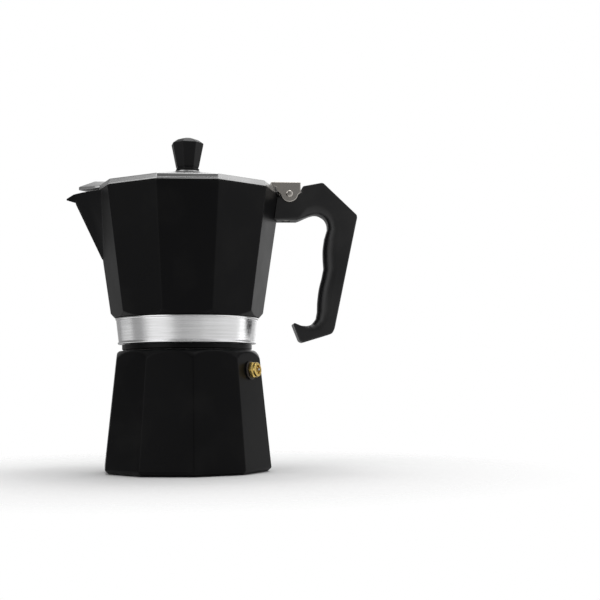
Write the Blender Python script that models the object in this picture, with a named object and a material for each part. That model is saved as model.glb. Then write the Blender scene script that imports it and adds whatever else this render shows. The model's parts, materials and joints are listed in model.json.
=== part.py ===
"""Ten-sided stovetop espresso pot, built as the separate pieces it comes apart into.

The frame: the origin is the centre of the boiler's underside, +Z is up, +X points to the handle and -X to
the spout. Sizes are in metres. The boiler stands still. The whole top unscrews from its neck and lifts off,
the funnel lifts out after it, the lid swings on its pin, and the safety valve's plunger moves in its body.
"""

import math

import bmesh
import bpy
from mathutils import Matrix, Vector

GAP = 0.0003            # play between pieces that touch

# The ten-sided bodies
SIDES = 10
HALF_SIDE = math.pi / SIDES
RING_POINTS = 40        # points round each body, four to a facet

# Boiler
BOILER_CORNER_ANGLE = math.radians(22.3)
BOILER_CORNER_RADIUS = 0.0526
BOILER_TAPER = 0.1057   # loss of corner radius per unit of height
FOOT_BEVEL = 0.0022
BOILER_WALL = 0.0030
SHOULDER_CENTRE_RADIUS = 0.0351
SHOULDER_CENTRE_HEIGHT = 0.0644
SHOULDER_RADIUS = 0.01087
SHOULDER_TOP = 0.0731
NECK_RING_RADIUS = 0.0398
NECK_RING_TOP = 0.0771
MOUTH_RADIUS = 0.0320
MOUTH_HEIGHT = 0.0900

# Thread between the boiler's neck and the collar
THREAD_PITCH = 0.0040
THREAD_DEPTH = 0.0010
THREAD_ROWS_PER_TURN = 4
NECK_ROOT_RADIUS = 0.0354
NECK_THREAD = (0.0785, 0.0885)
COLLAR_ROOT_RADIUS = 0.0377
COLLAR_THREAD = (0.0780, 0.0880)

# Collar: the bare band that screws over the neck
COLLAR_BOTTOM = 0.0774
COLLAR_TOP = 0.0932
COLLAR_BOTTOM_RADIUS = 0.0419
COLLAR_TOP_RADIUS = 0.0434
COLLAR_LIP = 0.0005

# Upper chamber
CHAMBER_CORNER_RADIUS = 0.0465   # at the chamber's foot
CHAMBER_FLARE = 0.15             # gain of corner radius per unit of height
CHAMBER_WALL = 0.0028
CHAMBER_FOOT = 0.0935
CHAMBER_FOOT_RADIUS = 0.0443
CHAMBER_FOOT_SLOPE = 0.9
CHAMBER_RIM = 0.1703
CHAMBER_FLOOR_UNDER = 0.0944
CHAMBER_FLOOR = 0.0972
SPIGOT_RADII = (0.0362, 0.0382)
SPIGOT_BOTTOM = 0.0896
COLUMN_HOLE_RADIUS = 0.0056

# Spout: (x, z) points on its middle plane
SPOUT_ROOT = (-0.0520, 0.1287)
SPOUT_CHIN = (-0.0685, 0.1634)
SPOUT_TIP = (-0.0742, 0.1664)
SPOUT_LIP = (-0.0693, 0.1700)
SPOUT_WALL = 0.0026     # wall thickness measured along Y

# Seal and strainers
GASKET_RADII = (0.0293, 0.0359)
GASKET_HEIGHTS = (0.0914, 0.0941)
FILTER_RADIUS = 0.0290
FILTER_HEIGHTS = (0.0922, 0.0931)
FUNNEL_FLANGE_RADIUS = 0.0350
FUNNEL_FLANGE = (0.0903, 0.0911)
BASKET_RADIUS = 0.0312
BASKET_FLOOR = 0.0670
FUNNEL_SHEET = 0.0008
STEM_RADIUS = 0.0044
STEM_BOTTOM = 0.0080
STRAINER_RADIUS = 0.0298

# Handle, hinge and lid
HANDLE_HALF_WIDTH = 0.0070
EDGE_DEPTH = 0.65  # depth across the handle of an edge rounding, for each unit of its reach
PRONG_INSIDE = 0.0040
LUG_HALF_WIDTH = 0.0037
PIN_X, PIN_Z = 0.0631, 0.1706
PIN_RADIUS = 0.0014
PIN_HOLE_RADIUS = 0.0017
LUG_KNUCKLE_RADIUS = 0.0046
PRONG_KNUCKLE_RADIUS = 0.0049
HANDLE_SCREW_X = 0.0615
LEAF_INSIDE = 0.0073
LEAF_OUTSIDE = 0.0082
LEAF_TOP = 0.1780
LID_LIP_RADIUS = 0.0576
LID_LIP = (0.1706, 0.1717)
LID_EDGE_RADIUS = 0.0568
LID_EDGE_HEIGHT = 0.1741
LID_BOSS_RADIUS = 0.0084
LID_BOSS_HEIGHT = 0.1850
LID_SHEET = 0.0016
SCREW_HOLE_RADIUS = 0.0022

# Knob
KNOB_SIDES = 8
KNOB_FOOT = LID_BOSS_HEIGHT + GAP
KNOB_CORNER = math.radians(30)
KNOB_WAIST_RADIUS = 0.0074
KNOB_WIDEST_RADIUS = 0.0104
KNOB_WIDEST_HEIGHT = 0.2028
KNOB_TOP = 0.2062

# Safety valve, on the middle of the facet beside the boiler's first corner
VALVE_ANGLE = BOILER_CORNER_ANGLE - 3 * HALF_SIDE
VALVE_HEIGHT = 0.0608
VALVE_SHANK_RADIUS = 0.0034


def clear_scene():
    for leftover in list(bpy.data.objects):
        bpy.data.objects.remove(leftover, do_unlink=True)


def finish(name, colour, roughness, metallic):
    material = bpy.data.materials.new(name)
    material.use_nodes = True
    shader = material.node_tree.nodes["Principled BSDF"]
    shader.inputs["Base Color"].default_value = (*colour, 1.0)
    shader.inputs["Roughness"].default_value = roughness
    shader.inputs["Metallic"].default_value = metallic
    return material


def add_object(name, shape, material, pivot=(0.0, 0.0, 0.0), sharp=30):
    """Makes an object of a bmesh given in the frame's coordinates, with its origin at pivot."""
    bmesh.ops.recalc_face_normals(shape, faces=shape.faces)
    bmesh.ops.translate(shape, verts=shape.verts, vec=-Vector(pivot))
    mesh = bpy.data.meshes.new(name)
    shape.to_mesh(mesh)
    shape.free()
    mesh.shade_smooth()
    mesh.set_sharp_from_angle(angle=math.radians(sharp))
    mesh.materials.append(material)
    new = bpy.data.objects.new(name, mesh)
    new.location = pivot
    bpy.context.collection.objects.link(new)
    return new


def skin(rings, closed):
    """Joins rings of equal length side by side: closed into a tube section, or capped at both ends."""
    shape = bmesh.new()
    rows = [[shape.verts.new(point) for point in ring] for ring in rings]
    pairs = list(zip(rows, rows[1:]))
    if closed:
        pairs.append((rows[-1], rows[0]))
    else:
        shape.faces.new(rows[0])
        shape.faces.new(rows[-1])
    for one, two in pairs:
        for i in range(len(one)):
            j = (i + 1) % len(one)
            shape.faces.new((one[i], one[j], two[j], two[i]))
    return shape


def circle(radius, height, points=RING_POINTS, start=0.0):
    turns = [start + 2 * math.pi * i / points for i in range(points)]
    return [(radius * math.cos(a), radius * math.sin(a), height) for a in turns]


def facet_factor(angle, corner):
    """A regular ten-sided outline's radius at an angle, as a share of its corner radius."""
    off_middle = (angle - corner) % (2 * HALF_SIDE) - HALF_SIDE
    return math.cos(HALF_SIDE) / math.cos(off_middle)


def ring_angles(corner):
    return [corner + 2 * math.pi * i / RING_POINTS for i in range(RING_POINTS)]


def polar_ring(angles, radius_at, height_at):
    points = []
    for angle in angles:
        height = height_at(angle)
        radius = radius_at(angle, height)
        points.append((radius * math.cos(angle), radius * math.sin(angle), height))
    return points


def decagon(corner_radius, height, corner=0.0):
    def radius(angle, z):
        return corner_radius * facet_factor(angle, corner)

    return polar_ring(ring_angles(corner), radius, lambda a: height)


def turned(profile, closed=False, points=24):
    """A turned shape about Z from (radius, height) pairs."""
    return skin([circle(radius, height, points) for radius, height in profile], closed)


def prism(outline, half_width):
    """An outline of (x, z) points, given width along Y."""
    sides = [[(x, y, z) for x, z in outline] for y in (-half_width, half_width)]
    return skin(sides, closed=False)


def rod(radius, start, end, points=20):
    """A round bar between two points."""
    start, end = Vector(start), Vector(end)
    shape = turned([(radius, 0.0), (radius, (end - start).length)], points=points)
    turn = Vector((0, 0, 1)).rotation_difference(end - start).to_matrix().to_4x4()
    bmesh.ops.transform(shape, matrix=Matrix.Translation(start) @ turn, verts=shape.verts)
    return shape


def hull(points):
    shape = bmesh.new()
    corners = [shape.verts.new(point) for point in points]
    result = bmesh.ops.convex_hull(shape, input=corners)
    unused = [v for v in result["geom_interior"] if isinstance(v, bmesh.types.BMVert)]
    bmesh.ops.delete(shape, geom=unused, context="VERTS")
    return shape


def combine(target, shape, operation):
    """Cuts a helper shape out of an object, or adds it to the object."""
    name = f"{target.name}_{operation.lower()}_{len(target.modifiers)}"
    helper = add_object(name, shape, target.active_material)
    helper.location = (0.0, 0.0, 0.0)
    helper.hide_render = True
    helper.display_type = "WIRE"
    boolean = target.modifiers.new(helper.name, "BOOLEAN")
    boolean.operation = operation
    boolean.solver = "EXACT"
    boolean.object = helper


def boiler_corner_radius(height):
    return BOILER_CORNER_RADIUS - BOILER_TAPER * height


def shoulder_radius(height):
    return SHOULDER_CENTRE_RADIUS + math.sqrt(SHOULDER_RADIUS ** 2 - (height - SHOULDER_CENTRE_HEIGHT) ** 2)


def facet_top(angle):
    """The height at which a boiler facet runs out into the rounded shoulder: an arch over each facet."""
    low, high = SHOULDER_CENTRE_HEIGHT, SHOULDER_TOP
    for _ in range(30):
        middle = (low + high) / 2
        facet = boiler_corner_radius(middle) * facet_factor(angle, BOILER_CORNER_ANGLE)
        if facet < shoulder_radius(middle):
            low = middle
        else:
            high = middle
    return low


def thread_ridge(angle, height, span, half_turn):
    """How far the thread stands out here, from 0 to 1, with a run-out at both ends."""
    turn = height / THREAD_PITCH - angle / (2 * math.pi) + half_turn
    run_out = THREAD_PITCH / 2
    fade = min(1.0, (height - span[0]) / run_out, (span[1] - height) / run_out)
    return max(0.0, fade) * (0.5 + 0.5 * math.cos(2 * math.pi * turn))


def thread_rings(angles, root, sign, span, half_turn):
    rows = round((span[1] - span[0]) / THREAD_PITCH * THREAD_ROWS_PER_TURN)
    rings = []
    for row in range(rows + 1):
        height = span[0] + (span[1] - span[0]) * row / rows

        def radius(angle, z):
            return root + sign * THREAD_DEPTH * thread_ridge(angle, z, span, half_turn)

        rings.append(polar_ring(angles, radius, lambda a, z=height: z))
    return rings


def valve_matrix():
    """Places a shape turned about Z on the valve's axis, square to its facet, with 0 at the facet."""
    apothem = boiler_corner_radius(VALVE_HEIGHT) * math.cos(HALF_SIDE)
    tilt = math.atan(BOILER_TAPER * math.cos(HALF_SIDE))
    out = Vector((math.cos(VALVE_ANGLE), math.sin(VALVE_ANGLE), 0.0))
    axis = out * math.cos(tilt) + Vector((0, 0, 1)) * math.sin(tilt)
    place = Matrix.Translation(out * apothem + Vector((0, 0, VALVE_HEIGHT)))
    return place @ Vector((0, 0, 1)).rotation_difference(axis).to_matrix().to_4x4()


def on_valve(shape):
    bmesh.ops.transform(shape, matrix=valve_matrix(), verts=shape.verts)
    return shape


def build_boiler(paint):
    angles = ring_angles(BOILER_CORNER_ANGLE)
    corner = BOILER_CORNER_ANGLE
    bevel_width, bevel_height = FOOT_BEVEL + 0.0006, FOOT_BEVEL
    rings = [decagon(BOILER_CORNER_RADIUS - bevel_width, 0.0, corner)]
    rings.append(decagon(boiler_corner_radius(bevel_height), bevel_height, corner))
    for share in (0.0, 0.35, 0.7, 1.0):
        def height_at(angle, share=share):
            start = facet_top(angle)
            return start + (SHOULDER_TOP - start) * share
        rings.append(polar_ring(angles, lambda a, z: shoulder_radius(z), height_at))
    groove_radius = NECK_RING_RADIUS - 0.0006
    neck = [(groove_radius, SHOULDER_TOP + 0.0001), (groove_radius, SHOULDER_TOP + 0.0005),
            (NECK_RING_RADIUS, SHOULDER_TOP + 0.0008), (NECK_RING_RADIUS, NECK_RING_TOP - 0.0003),
            (NECK_RING_RADIUS - 0.0003, NECK_RING_TOP), (NECK_ROOT_RADIUS, NECK_RING_TOP)]
    rings += [circle(radius, height, start=corner) for radius, height in neck]
    rings += thread_rings(angles, NECK_ROOT_RADIUS, 1, NECK_THREAD, 0.0)
    inner_shoulder = SHOULDER_TOP + 0.0035
    inside = [(NECK_ROOT_RADIUS, MOUTH_HEIGHT - 0.0004), (NECK_ROOT_RADIUS - 0.0004, MOUTH_HEIGHT),
              (MOUTH_RADIUS, MOUTH_HEIGHT), (MOUTH_RADIUS, inner_shoulder),
              (MOUTH_RADIUS + 0.0068, inner_shoulder - 0.0060),
              (MOUTH_RADIUS + 0.0083, inner_shoulder - 0.0105)]
    inner_foot = (BOILER_CORNER_RADIUS * math.cos(HALF_SIDE)) - BOILER_WALL - 0.0006
    inside += [(inner_foot, 0.0065), (inner_foot - 0.0028, BOILER_WALL)]
    rings += [circle(radius, height, start=corner) for radius, height in inside]
    boiler = add_object("boiler", skin(rings, closed=False), paint)
    hole = rod(VALVE_SHANK_RADIUS + GAP, (0, 0, -0.012), (0, 0, 0.004))
    combine(boiler, on_valve(hole), "DIFFERENCE")


def build_collar(bare):
    bottom, top = COLLAR_BOTTOM_RADIUS, COLLAR_TOP_RADIUS
    spigot_seat = SPIGOT_RADII[1] + GAP
    outside = [(bottom + COLLAR_LIP, COLLAR_BOTTOM + 0.0002), (bottom + COLLAR_LIP, COLLAR_BOTTOM + 0.0009),
               (bottom, COLLAR_BOTTOM + 0.0012), (top, COLLAR_TOP - 0.0012),
               (top + COLLAR_LIP, COLLAR_TOP - 0.0009), (top + COLLAR_LIP, COLLAR_TOP - 0.0002),
               (top + COLLAR_LIP - 0.0003, COLLAR_TOP), (spigot_seat, COLLAR_TOP),
               (spigot_seat, SPIGOT_BOTTOM - GAP), (COLLAR_ROOT_RADIUS, SPIGOT_BOTTOM - 3 * GAP)]
    rings = [circle(radius, height) for radius, height in outside]
    angles = ring_angles(0.0)
    rings += reversed(thread_rings(angles, COLLAR_ROOT_RADIUS, -1, COLLAR_THREAD, 0.5))
    rings.append(circle(COLLAR_ROOT_RADIUS + 0.0004, COLLAR_BOTTOM))
    rings.append(circle(bottom + COLLAR_LIP - 0.0003, COLLAR_BOTTOM))
    add_object("threaded_collar", skin(rings, closed=True), bare)


def chamber_corner_radius(height):
    return CHAMBER_CORNER_RADIUS + CHAMBER_FLARE * (height - CHAMBER_FOOT)


def chamber_foot_height(angle):
    """The height at which a chamber facet leaves the turned foot: a scallop under each facet."""
    factor = facet_factor(angle, 0.0)
    overhang = CHAMBER_CORNER_RADIUS * factor - CHAMBER_FOOT_RADIUS
    return CHAMBER_FOOT + max(0.0002, overhang / (CHAMBER_FOOT_SLOPE - CHAMBER_FLARE * factor))


def spout_half_width(x, z):
    """Half the spout's outer width: two flat sides that open upwards from the ridge on the -X corner."""
    return 0.447 * (z - SPOUT_ROOT[1]) + 0.920 * (x - SPOUT_ROOT[0])


def mirrored(points):
    """Each (x, y, z) point with its twin on the other side of the middle plane."""
    return [twin for x, y, z in points for twin in ((x, y, z), (x, -y, z))]


def spout_outside():
    """The spout's outside in two convex pieces: the wedge, and the lip that reaches out from its chin."""
    rim = CHAMBER_RIM
    edge = [(x, spout_half_width(x, z), z) for x, z in (SPOUT_LIP, (-0.0643, rim), (-0.0500, rim))]
    back = [(-0.0485, 0.0, SPOUT_ROOT[1] + 0.002), (-0.0485, 0.0, rim)]
    root, chin, tip = [(x, 0.0, z) for x, z in (SPOUT_ROOT, SPOUT_CHIN, SPOUT_TIP)]
    wedge = hull([root, chin] + mirrored(edge) + back)
    tip_edge = [(SPOUT_TIP[0], 0.0008, SPOUT_TIP[1] + 0.0008), edge[0], (-0.0670, 0.0030, 0.1680)]
    return wedge, hull([tip, (-0.0660, 0.0, 0.1640)] + mirrored(tip_edge))


def spout_channel():
    """The hollow that the coffee runs out through, open at the top, in two convex pieces."""
    above = CHAMBER_RIM + 0.003
    inside_x, past_tip = -0.0440, -0.0770
    turn = (-0.0663, 0.0, 0.1657)
    edge = [(x, spout_half_width(x, above) - SPOUT_WALL, above) for x in (inside_x, -0.0643, -0.0690)]
    wedge = hull([(inside_x, 0.0, 0.1219), turn] + mirrored(edge))
    lip_edge = [(x, 0.0009, z) for x, z in ((-0.0655, above), (past_tip, above))]
    return wedge, hull([turn, (-0.0655, 0.0, 0.1665), (past_tip, 0.0, 0.1684)] + mirrored(lip_edge))


def arc(centre, radius, start, end, steps):
    """Points on an arc in the XZ plane, angles in degrees from +X towards +Z."""
    turns = [math.radians(start + (end - start) * i / steps) for i in range(steps + 1)]
    return [(centre[0] + radius * math.cos(a), centre[1] + radius * math.sin(a)) for a in turns]


def cross_pin_hole(radius):
    return rod(radius, (PIN_X, -0.02, PIN_Z), (PIN_X, 0.02, PIN_Z))


def build_upper_chamber(paint):
    angles = ring_angles(0.0)
    inner, outer = SPIGOT_RADII
    rings = [circle(inner, CHAMBER_FLOOR_UNDER), circle(inner, SPIGOT_BOTTOM), circle(outer, SPIGOT_BOTTOM),
             circle(outer, CHAMBER_FOOT)]

    def foot_radius(angle, height):
        turned_foot = CHAMBER_FOOT_RADIUS + CHAMBER_FOOT_SLOPE * (height - CHAMBER_FOOT)
        return min(turned_foot, chamber_corner_radius(height) * facet_factor(angle, 0.0))

    rings.append(polar_ring(angles, foot_radius, lambda a: CHAMBER_FOOT))
    rings.append(polar_ring(angles, foot_radius, chamber_foot_height))
    rings.append(decagon(chamber_corner_radius(CHAMBER_RIM - 0.0004), CHAMBER_RIM - 0.0004))
    rings.append(decagon(chamber_corner_radius(CHAMBER_RIM) - 0.0004, CHAMBER_RIM))
    chamber = add_object("upper_chamber", skin(rings, closed=False), paint)
    for piece in spout_outside():
        combine(chamber, piece, "UNION")
    lug = [(0.0540, 0.1583), (0.0663, 0.1583), (0.0677, 0.1598)]
    lug += arc((PIN_X, PIN_Z), LUG_KNUCKLE_RADIUS, 0, 180, 8)
    lug += [(PIN_X - LUG_KNUCKLE_RADIUS, 0.1683), (0.0556, 0.1683)]
    combine(chamber, prism(lug, LUG_HALF_WIDTH), "UNION")

    def inside(height, inset=0.0):
        return decagon(chamber_corner_radius(height) - CHAMBER_WALL - inset, height)

    rim_above = CHAMBER_RIM + 0.002
    cavity = [inside(CHAMBER_FLOOR, inset=0.0030), inside(CHAMBER_FLOOR + 0.0030), inside(rim_above)]
    combine(chamber, skin(cavity, closed=False), "DIFFERENCE")
    for piece in spout_channel():
        combine(chamber, piece, "DIFFERENCE")
    combine(chamber, rod(COLUMN_HOLE_RADIUS, (0, 0, 0.09), (0, 0, 0.1)), "DIFFERENCE")
    combine(chamber, cross_pin_hole(PIN_HOLE_RADIUS), "DIFFERENCE")
    screw_hole = rod(0.0018, (HANDLE_SCREW_X, 0, 0.150), (HANDLE_SCREW_X, 0, 0.1660), points=12)
    combine(chamber, screw_hole, "DIFFERENCE")


def build_column(bare):
    foot = CHAMBER_FLOOR + GAP
    spigot_end = CHAMBER_FLOOR_UNDER + 0.0002
    profile = [(0.0034, 0.1470), (0.0034, spigot_end), (0.0053, spigot_end), (0.0053, foot),
               (0.0082, foot), (0.0082, foot + 0.0012), (0.0064, foot + 0.0032),
               (0.0052, 0.1430), (0.0057, 0.1440), (0.0057, 0.1485), (0.0046, 0.1502), (0.0020, 0.1510)]
    column = add_object("coffee_column", turned(profile, points=28), bare)
    outlets = rod(0.0020, (0, -0.01, 0.1446), (0, 0.01, 0.1446), points=12)
    combine(column, outlets, "DIFFERENCE")


def perforated_disc(radius, heights, hole_radius, hole_rings):
    """A flat disc pierced by rings of round holes: hole_rings gives each ring's radius and count."""
    shape = bmesh.new()
    loops = [circle(radius, heights[0], points=36)]
    for ring_radius, count in hole_rings:
        for i in range(count):
            turn = 2 * math.pi * i / count
            x, y = ring_radius * math.cos(turn), ring_radius * math.sin(turn)
            loops.append([(x + px, y + py, z) for px, py, z in circle(hole_radius, heights[0], points=6)])
    for loop in loops:
        corners = [shape.verts.new(point) for point in loop]
        for i, corner in enumerate(corners):
            shape.edges.new((corner, corners[(i + 1) % len(corners)]))
    bmesh.ops.triangle_fill(shape, edges=shape.edges[:], use_beauty=True)
    grown = bmesh.ops.extrude_face_region(shape, geom=shape.faces[:])
    top = [v for v in grown["geom"] if isinstance(v, bmesh.types.BMVert)]
    bmesh.ops.translate(shape, verts=top, vec=(0, 0, heights[1] - heights[0]))
    return shape


def build_strainers(bare, steel):
    plate_holes = [(0.0, 1), (0.0100, 6), (0.0190, 12)]
    add_object("filter_plate", perforated_disc(FILTER_RADIUS, FILTER_HEIGHTS, 0.0009, plate_holes), steel)
    disc = (BASKET_FLOOR + GAP, BASKET_FLOOR + GAP + 0.0008)
    disc_holes = [(0.0, 1), (0.0100, 6), (0.0195, 12)]
    add_object("funnel_strainer", perforated_disc(STRAINER_RADIUS, disc, 0.0010, disc_holes), bare)


def build_funnel(bare):
    bore = BASKET_RADIUS - FUNNEL_SHEET
    bottom, top = FUNNEL_FLANGE
    seat = BASKET_FLOOR
    profile = [(FUNNEL_FLANGE_RADIUS, top), (bore, top), (bore, seat), (0.0280, seat - 0.0002),
               (STEM_RADIUS - FUNNEL_SHEET, 0.0580), (STEM_RADIUS - FUNNEL_SHEET, STEM_BOTTOM),
               (STEM_RADIUS, STEM_BOTTOM), (STEM_RADIUS, 0.0574), (0.0284, seat - 0.0010),
               (BASKET_RADIUS, seat - 0.0008), (BASKET_RADIUS, bottom), (FUNNEL_FLANGE_RADIUS, bottom)]
    add_object("funnel", turned(profile, closed=True, points=36), bare)


def build_gasket(rubber):
    low, high = GASKET_HEIGHTS
    inner, outer = GASKET_RADII
    profile = [(outer, low + 0.0003), (outer, high), (inner, high), (inner, low), (outer - 0.0003, low)]
    add_object("gasket", turned(profile, closed=True, points=40), rubber)


def build_valve(brass, steel, fibre):
    points = 24
    washer = [(0.0037, 0.0003), (0.0056, 0.0003), (0.0056, 0.0012), (0.0037, 0.0012)]
    add_object("valve_washer", on_valve(turned(washer, closed=True, points=points)), fibre)

    def hexagon(corner_radius, height):
        def radius(angle, z):
            return corner_radius * math.cos(math.pi / 6) / math.cos(angle % (math.pi / 3) - math.pi / 6)
        turns = [2 * math.pi * i / points for i in range(points)]
        return polar_ring(turns, radius, lambda a: height)

    head_foot = 0.0012 + GAP
    bore, bore_bottom, inlet = 0.0026, -0.0055, 0.0012
    round_rings = [(inlet, -0.0080), (VALVE_SHANK_RADIUS, -0.0080), (VALVE_SHANK_RADIUS, head_foot),
                   (0.0043, 0.0039), (0.0042, 0.0052), (0.0037, 0.0058), (bore, 0.0058),
                   (bore, bore_bottom), (inlet, bore_bottom)]
    rings = [circle(radius, height, points) for radius, height in round_rings]
    rings[3:3] = [hexagon(0.0052, head_foot), hexagon(0.0052, 0.0036)]
    add_object("valve_body", on_valve(skin(rings, closed=True)), brass)
    plunger = [(0.0006, -0.0068), (0.0009, -0.0064), (0.0009, bore_bottom + 0.0002),
               (0.0022, bore_bottom + GAP), (0.0022, -0.0042), (0.0008, -0.0041), (0.0008, 0.0060),
               (0.0005, 0.0064)]
    add_object("valve_plunger", on_valve(turned(plunger, points=14)), steel, valve_matrix().translation)
    cap = [(0.0012, 0.0036), (0.0023, 0.0036), (0.0023, 0.0048), (0.0012, 0.0048)]
    add_object("valve_cap", on_valve(turned(cap, closed=True, points=points)), brass)
    add_object("valve_spring", on_valve(coil(0.0017, 0.0003, -0.0036, 0.0030, 6)), steel)


def coil(radius, wire, low, high, turns):
    """A round-wire spring about Z, its wire ends capped."""
    steps, sides = turns * 10, 5
    rings = []
    for step in range(steps + 1):
        angle = 2 * math.pi * turns * step / steps
        height = low + (high - low) * step / steps
        out = Vector((math.cos(angle), math.sin(angle), 0.0))
        ring = []
        for side in range(sides):
            round_wire = 2 * math.pi * side / sides
            reach = radius + wire * math.cos(round_wire)
            ring.append(out * reach + Vector((0, 0, height + wire * math.sin(round_wire))))
        rings.append(ring)
    return skin(rings, closed=False)


def curve_through(points, steps):
    """Points on a smooth Catmull-Rom curve through the given ones."""
    ends = [points[0]] + list(points) + [points[-1]]
    curve = []
    for before, start, end, after in zip(ends, ends[1:], ends[2:], ends[3:]):
        for step in range(steps):
            t = step / steps
            weights = (-t + 2 * t ** 2 - t ** 3, 2 - 5 * t ** 2 + 3 * t ** 3,
                       t + 4 * t ** 2 - 3 * t ** 3, t ** 3 - t ** 2)
            curve.append(tuple(sum(weight * value for weight, value in zip(weights, values)) / 2
                               for values in zip(before, start, end, after)))
    return curve + [points[-1]]


def handle_outline():
    """The handle's side outline, and each point's edge rounding: wide round the grip, narrow elsewhere."""
    arm = [(0.0530, 0.1545), (0.0675, 0.1545), (0.0691, 0.1548)]
    web = curve_through([(0.0790, 0.1583), (0.0846, 0.1566), (0.0871, 0.1532), (0.0876, 0.1494)], 2)
    upper_grip = curve_through([(0.0856, 0.1430), (0.0847, 0.1368), (0.0846, 0.1310), (0.0850, 0.1244)], 2)
    lower_grip = curve_through([(0.0837, 0.1182), (0.0821, 0.1120), (0.0810, 0.1040), (0.0807, 0.0970)], 2)
    hook = curve_through([(0.0799, 0.0928), (0.0771, 0.0896), (0.0735, 0.0884), (0.0700, 0.0886)], 2)
    tip = [(0.0659, 0.0903), (0.0651, 0.0894)]
    foot = [(0.0691, 0.0791), (0.0711, 0.0781), (0.0892, 0.0835), (0.0908, 0.0862)]
    back = [(0.1058, 0.1564), (0.1055, 0.1580)]
    top = [(0.0843, 0.1782), (0.0720, 0.1758), (0.0712, 0.1748), (0.0712, 0.1722), (0.0702, 0.1712)]
    knuckle = arc((PIN_X, PIN_Z), PRONG_KNUCKLE_RADIUS, 8, 180, 8)
    end = [(PIN_X - PRONG_KNUCKLE_RADIUS, 0.1684), (0.0530, 0.1684)]
    parts = [(arm, 0.0012), (web[:3], 0.0018), (web[3:], 0.0058), (upper_grip + lower_grip, 0.0082),
             (hook[:3], 0.0066), (hook[3:5], 0.0040), (hook[5:], 0.0012), (tip, 0.0006),
             (foot + back + top, 0.0010), (knuckle + end, 0.0003)]
    points = [point for run, _ in parts for point in run]
    return points, [reach for run, reach in parts for _ in run]


def inset(outline, distances):
    """The closed outline with each point moved into the shape by its own distance."""
    moved = []
    for i, here in enumerate(outline):
        here = Vector(here)
        along = (here - Vector(outline[i - 1])).normalized()
        onward = (Vector(outline[(i + 1) % len(outline)]) - here).normalized()
        inward = Vector((-along.y - onward.y, along.x + onward.x)) / max(0.6, 1 + along.dot(onward))
        moved.append(tuple(here + inward * distances[i]))
    return moved


def rounded_prism(outline, reaches, half_width, steps):
    """An outline of (x, z) points, given width along Y, its edges rounded over each point's own reach."""
    rings = []
    for side in (-1, 1):
        turns = [math.pi / 2 * step / steps for step in range(steps + 1)]
        for turn in turns if side < 0 else reversed(turns):
            level = inset(outline, [reach * (1 - math.sin(turn)) for reach in reaches])
            depths = [EDGE_DEPTH * reach * (1 - math.cos(turn)) for reach in reaches]
            rings.append([(x, side * (half_width - depth), z) for (x, z), depth in zip(level, depths)])
    return skin(rings, closed=False)


def build_handle(bakelite, steel):
    outline, reaches = handle_outline()
    handle = add_object("handle", rounded_prism(outline, reaches, HANDLE_HALF_WIDTH, 4), bakelite)
    clear_of_chamber = [decagon(chamber_corner_radius(z) + GAP, z) for z in (0.1450, 0.1760)]
    combine(handle, skin(clear_of_chamber, closed=False), "DIFFERENCE")
    slot = [(0.0500, 0.1580), (0.0680, 0.1580), (0.0680, 0.1800), (0.0500, 0.1800)]
    combine(handle, prism(slot, PRONG_INSIDE), "DIFFERENCE")
    combine(handle, cross_pin_hole(PIN_HOLE_RADIUS), "DIFFERENCE")
    x = HANDLE_SCREW_X
    screw_way = turned([(0.0018, 0.1600), (0.0018, 0.1567), (0.0029, 0.1567), (0.0029, 0.1500)], points=16)
    bmesh.ops.translate(screw_way, verts=screw_way.verts, vec=(x, 0, 0))
    combine(handle, screw_way, "DIFFERENCE")
    screw = turned([(0.0022, 0.1548), (0.0026, 0.1552), (0.0026, 0.1564), (0.0015, 0.1564), (0.0015, 0.1650),
                    (0.0009, 0.1657)], points=16)
    bmesh.ops.translate(screw, verts=screw.verts, vec=(x, 0, 0))
    add_object("handle_screw", screw, steel)


def build_hinge_pin(steel):
    head_radius, head_foot, head_top = 0.0021, LEAF_OUTSIDE + GAP, LEAF_OUTSIDE + 0.0011
    half = [(head_radius - 0.0006, head_top), (head_radius, head_top - 0.0004), (head_radius, head_foot),
            (PIN_RADIUS, head_foot)]
    profile = half + [(radius, -height) for radius, height in reversed(half)]
    pin = turned(profile, points=20)
    lay = Matrix.Translation((PIN_X, 0, PIN_Z)) @ Matrix.Rotation(math.radians(90), 4, "X")
    bmesh.ops.transform(pin, matrix=lay, verts=pin.verts)
    add_object("hinge_pin", pin, steel)


def build_hinge_leaf(steel):
    """A pressed channel: two cheeks that reach down round the pin, and a bridge over the lid's tab."""
    cheek = [(0.0516, LEAF_TOP), (0.0516, 0.1753), (0.0549, 0.1746), (0.0553, 0.1722), (0.0567, 0.1712)]
    cheek += arc((PIN_X, 0.1711), 0.0056, 186, 350, 9)
    cheek += [(0.0702, 0.1712), (0.0702, LEAF_TOP)]
    pivot = (PIN_X, 0.0, PIN_Z)
    leaf = add_object("lid_hinge_leaf", prism(cheek, LEAF_OUTSIDE), steel, pivot)
    bridge_end, under_bridge = 0.0610, LEAF_TOP - 0.0009
    between = [(0.0500, 0.1600), (0.0720, 0.1600), (0.0720, 0.1800), (bridge_end, 0.1800),
               (bridge_end, under_bridge), (0.0500, under_bridge)]
    combine(leaf, prism(between, LEAF_INSIDE), "DIFFERENCE")
    combine(leaf, cross_pin_hole(PIN_HOLE_RADIUS), "DIFFERENCE")
    for name, y in (("lid_rivet_near", -0.0045), ("lid_rivet_far", 0.0045)):
        add_object(name, rod(0.0012, (0.0556, y, 0.1730), (0.0556, y, LEAF_TOP), points=12), steel, pivot)
        combine(leaf, rivet_hole(y), "DIFFERENCE")


def rivet_hole(y):
    return rod(0.0015, (0.0556, y, 0.1727), (0.0556, y, 0.1800), points=12)


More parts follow.
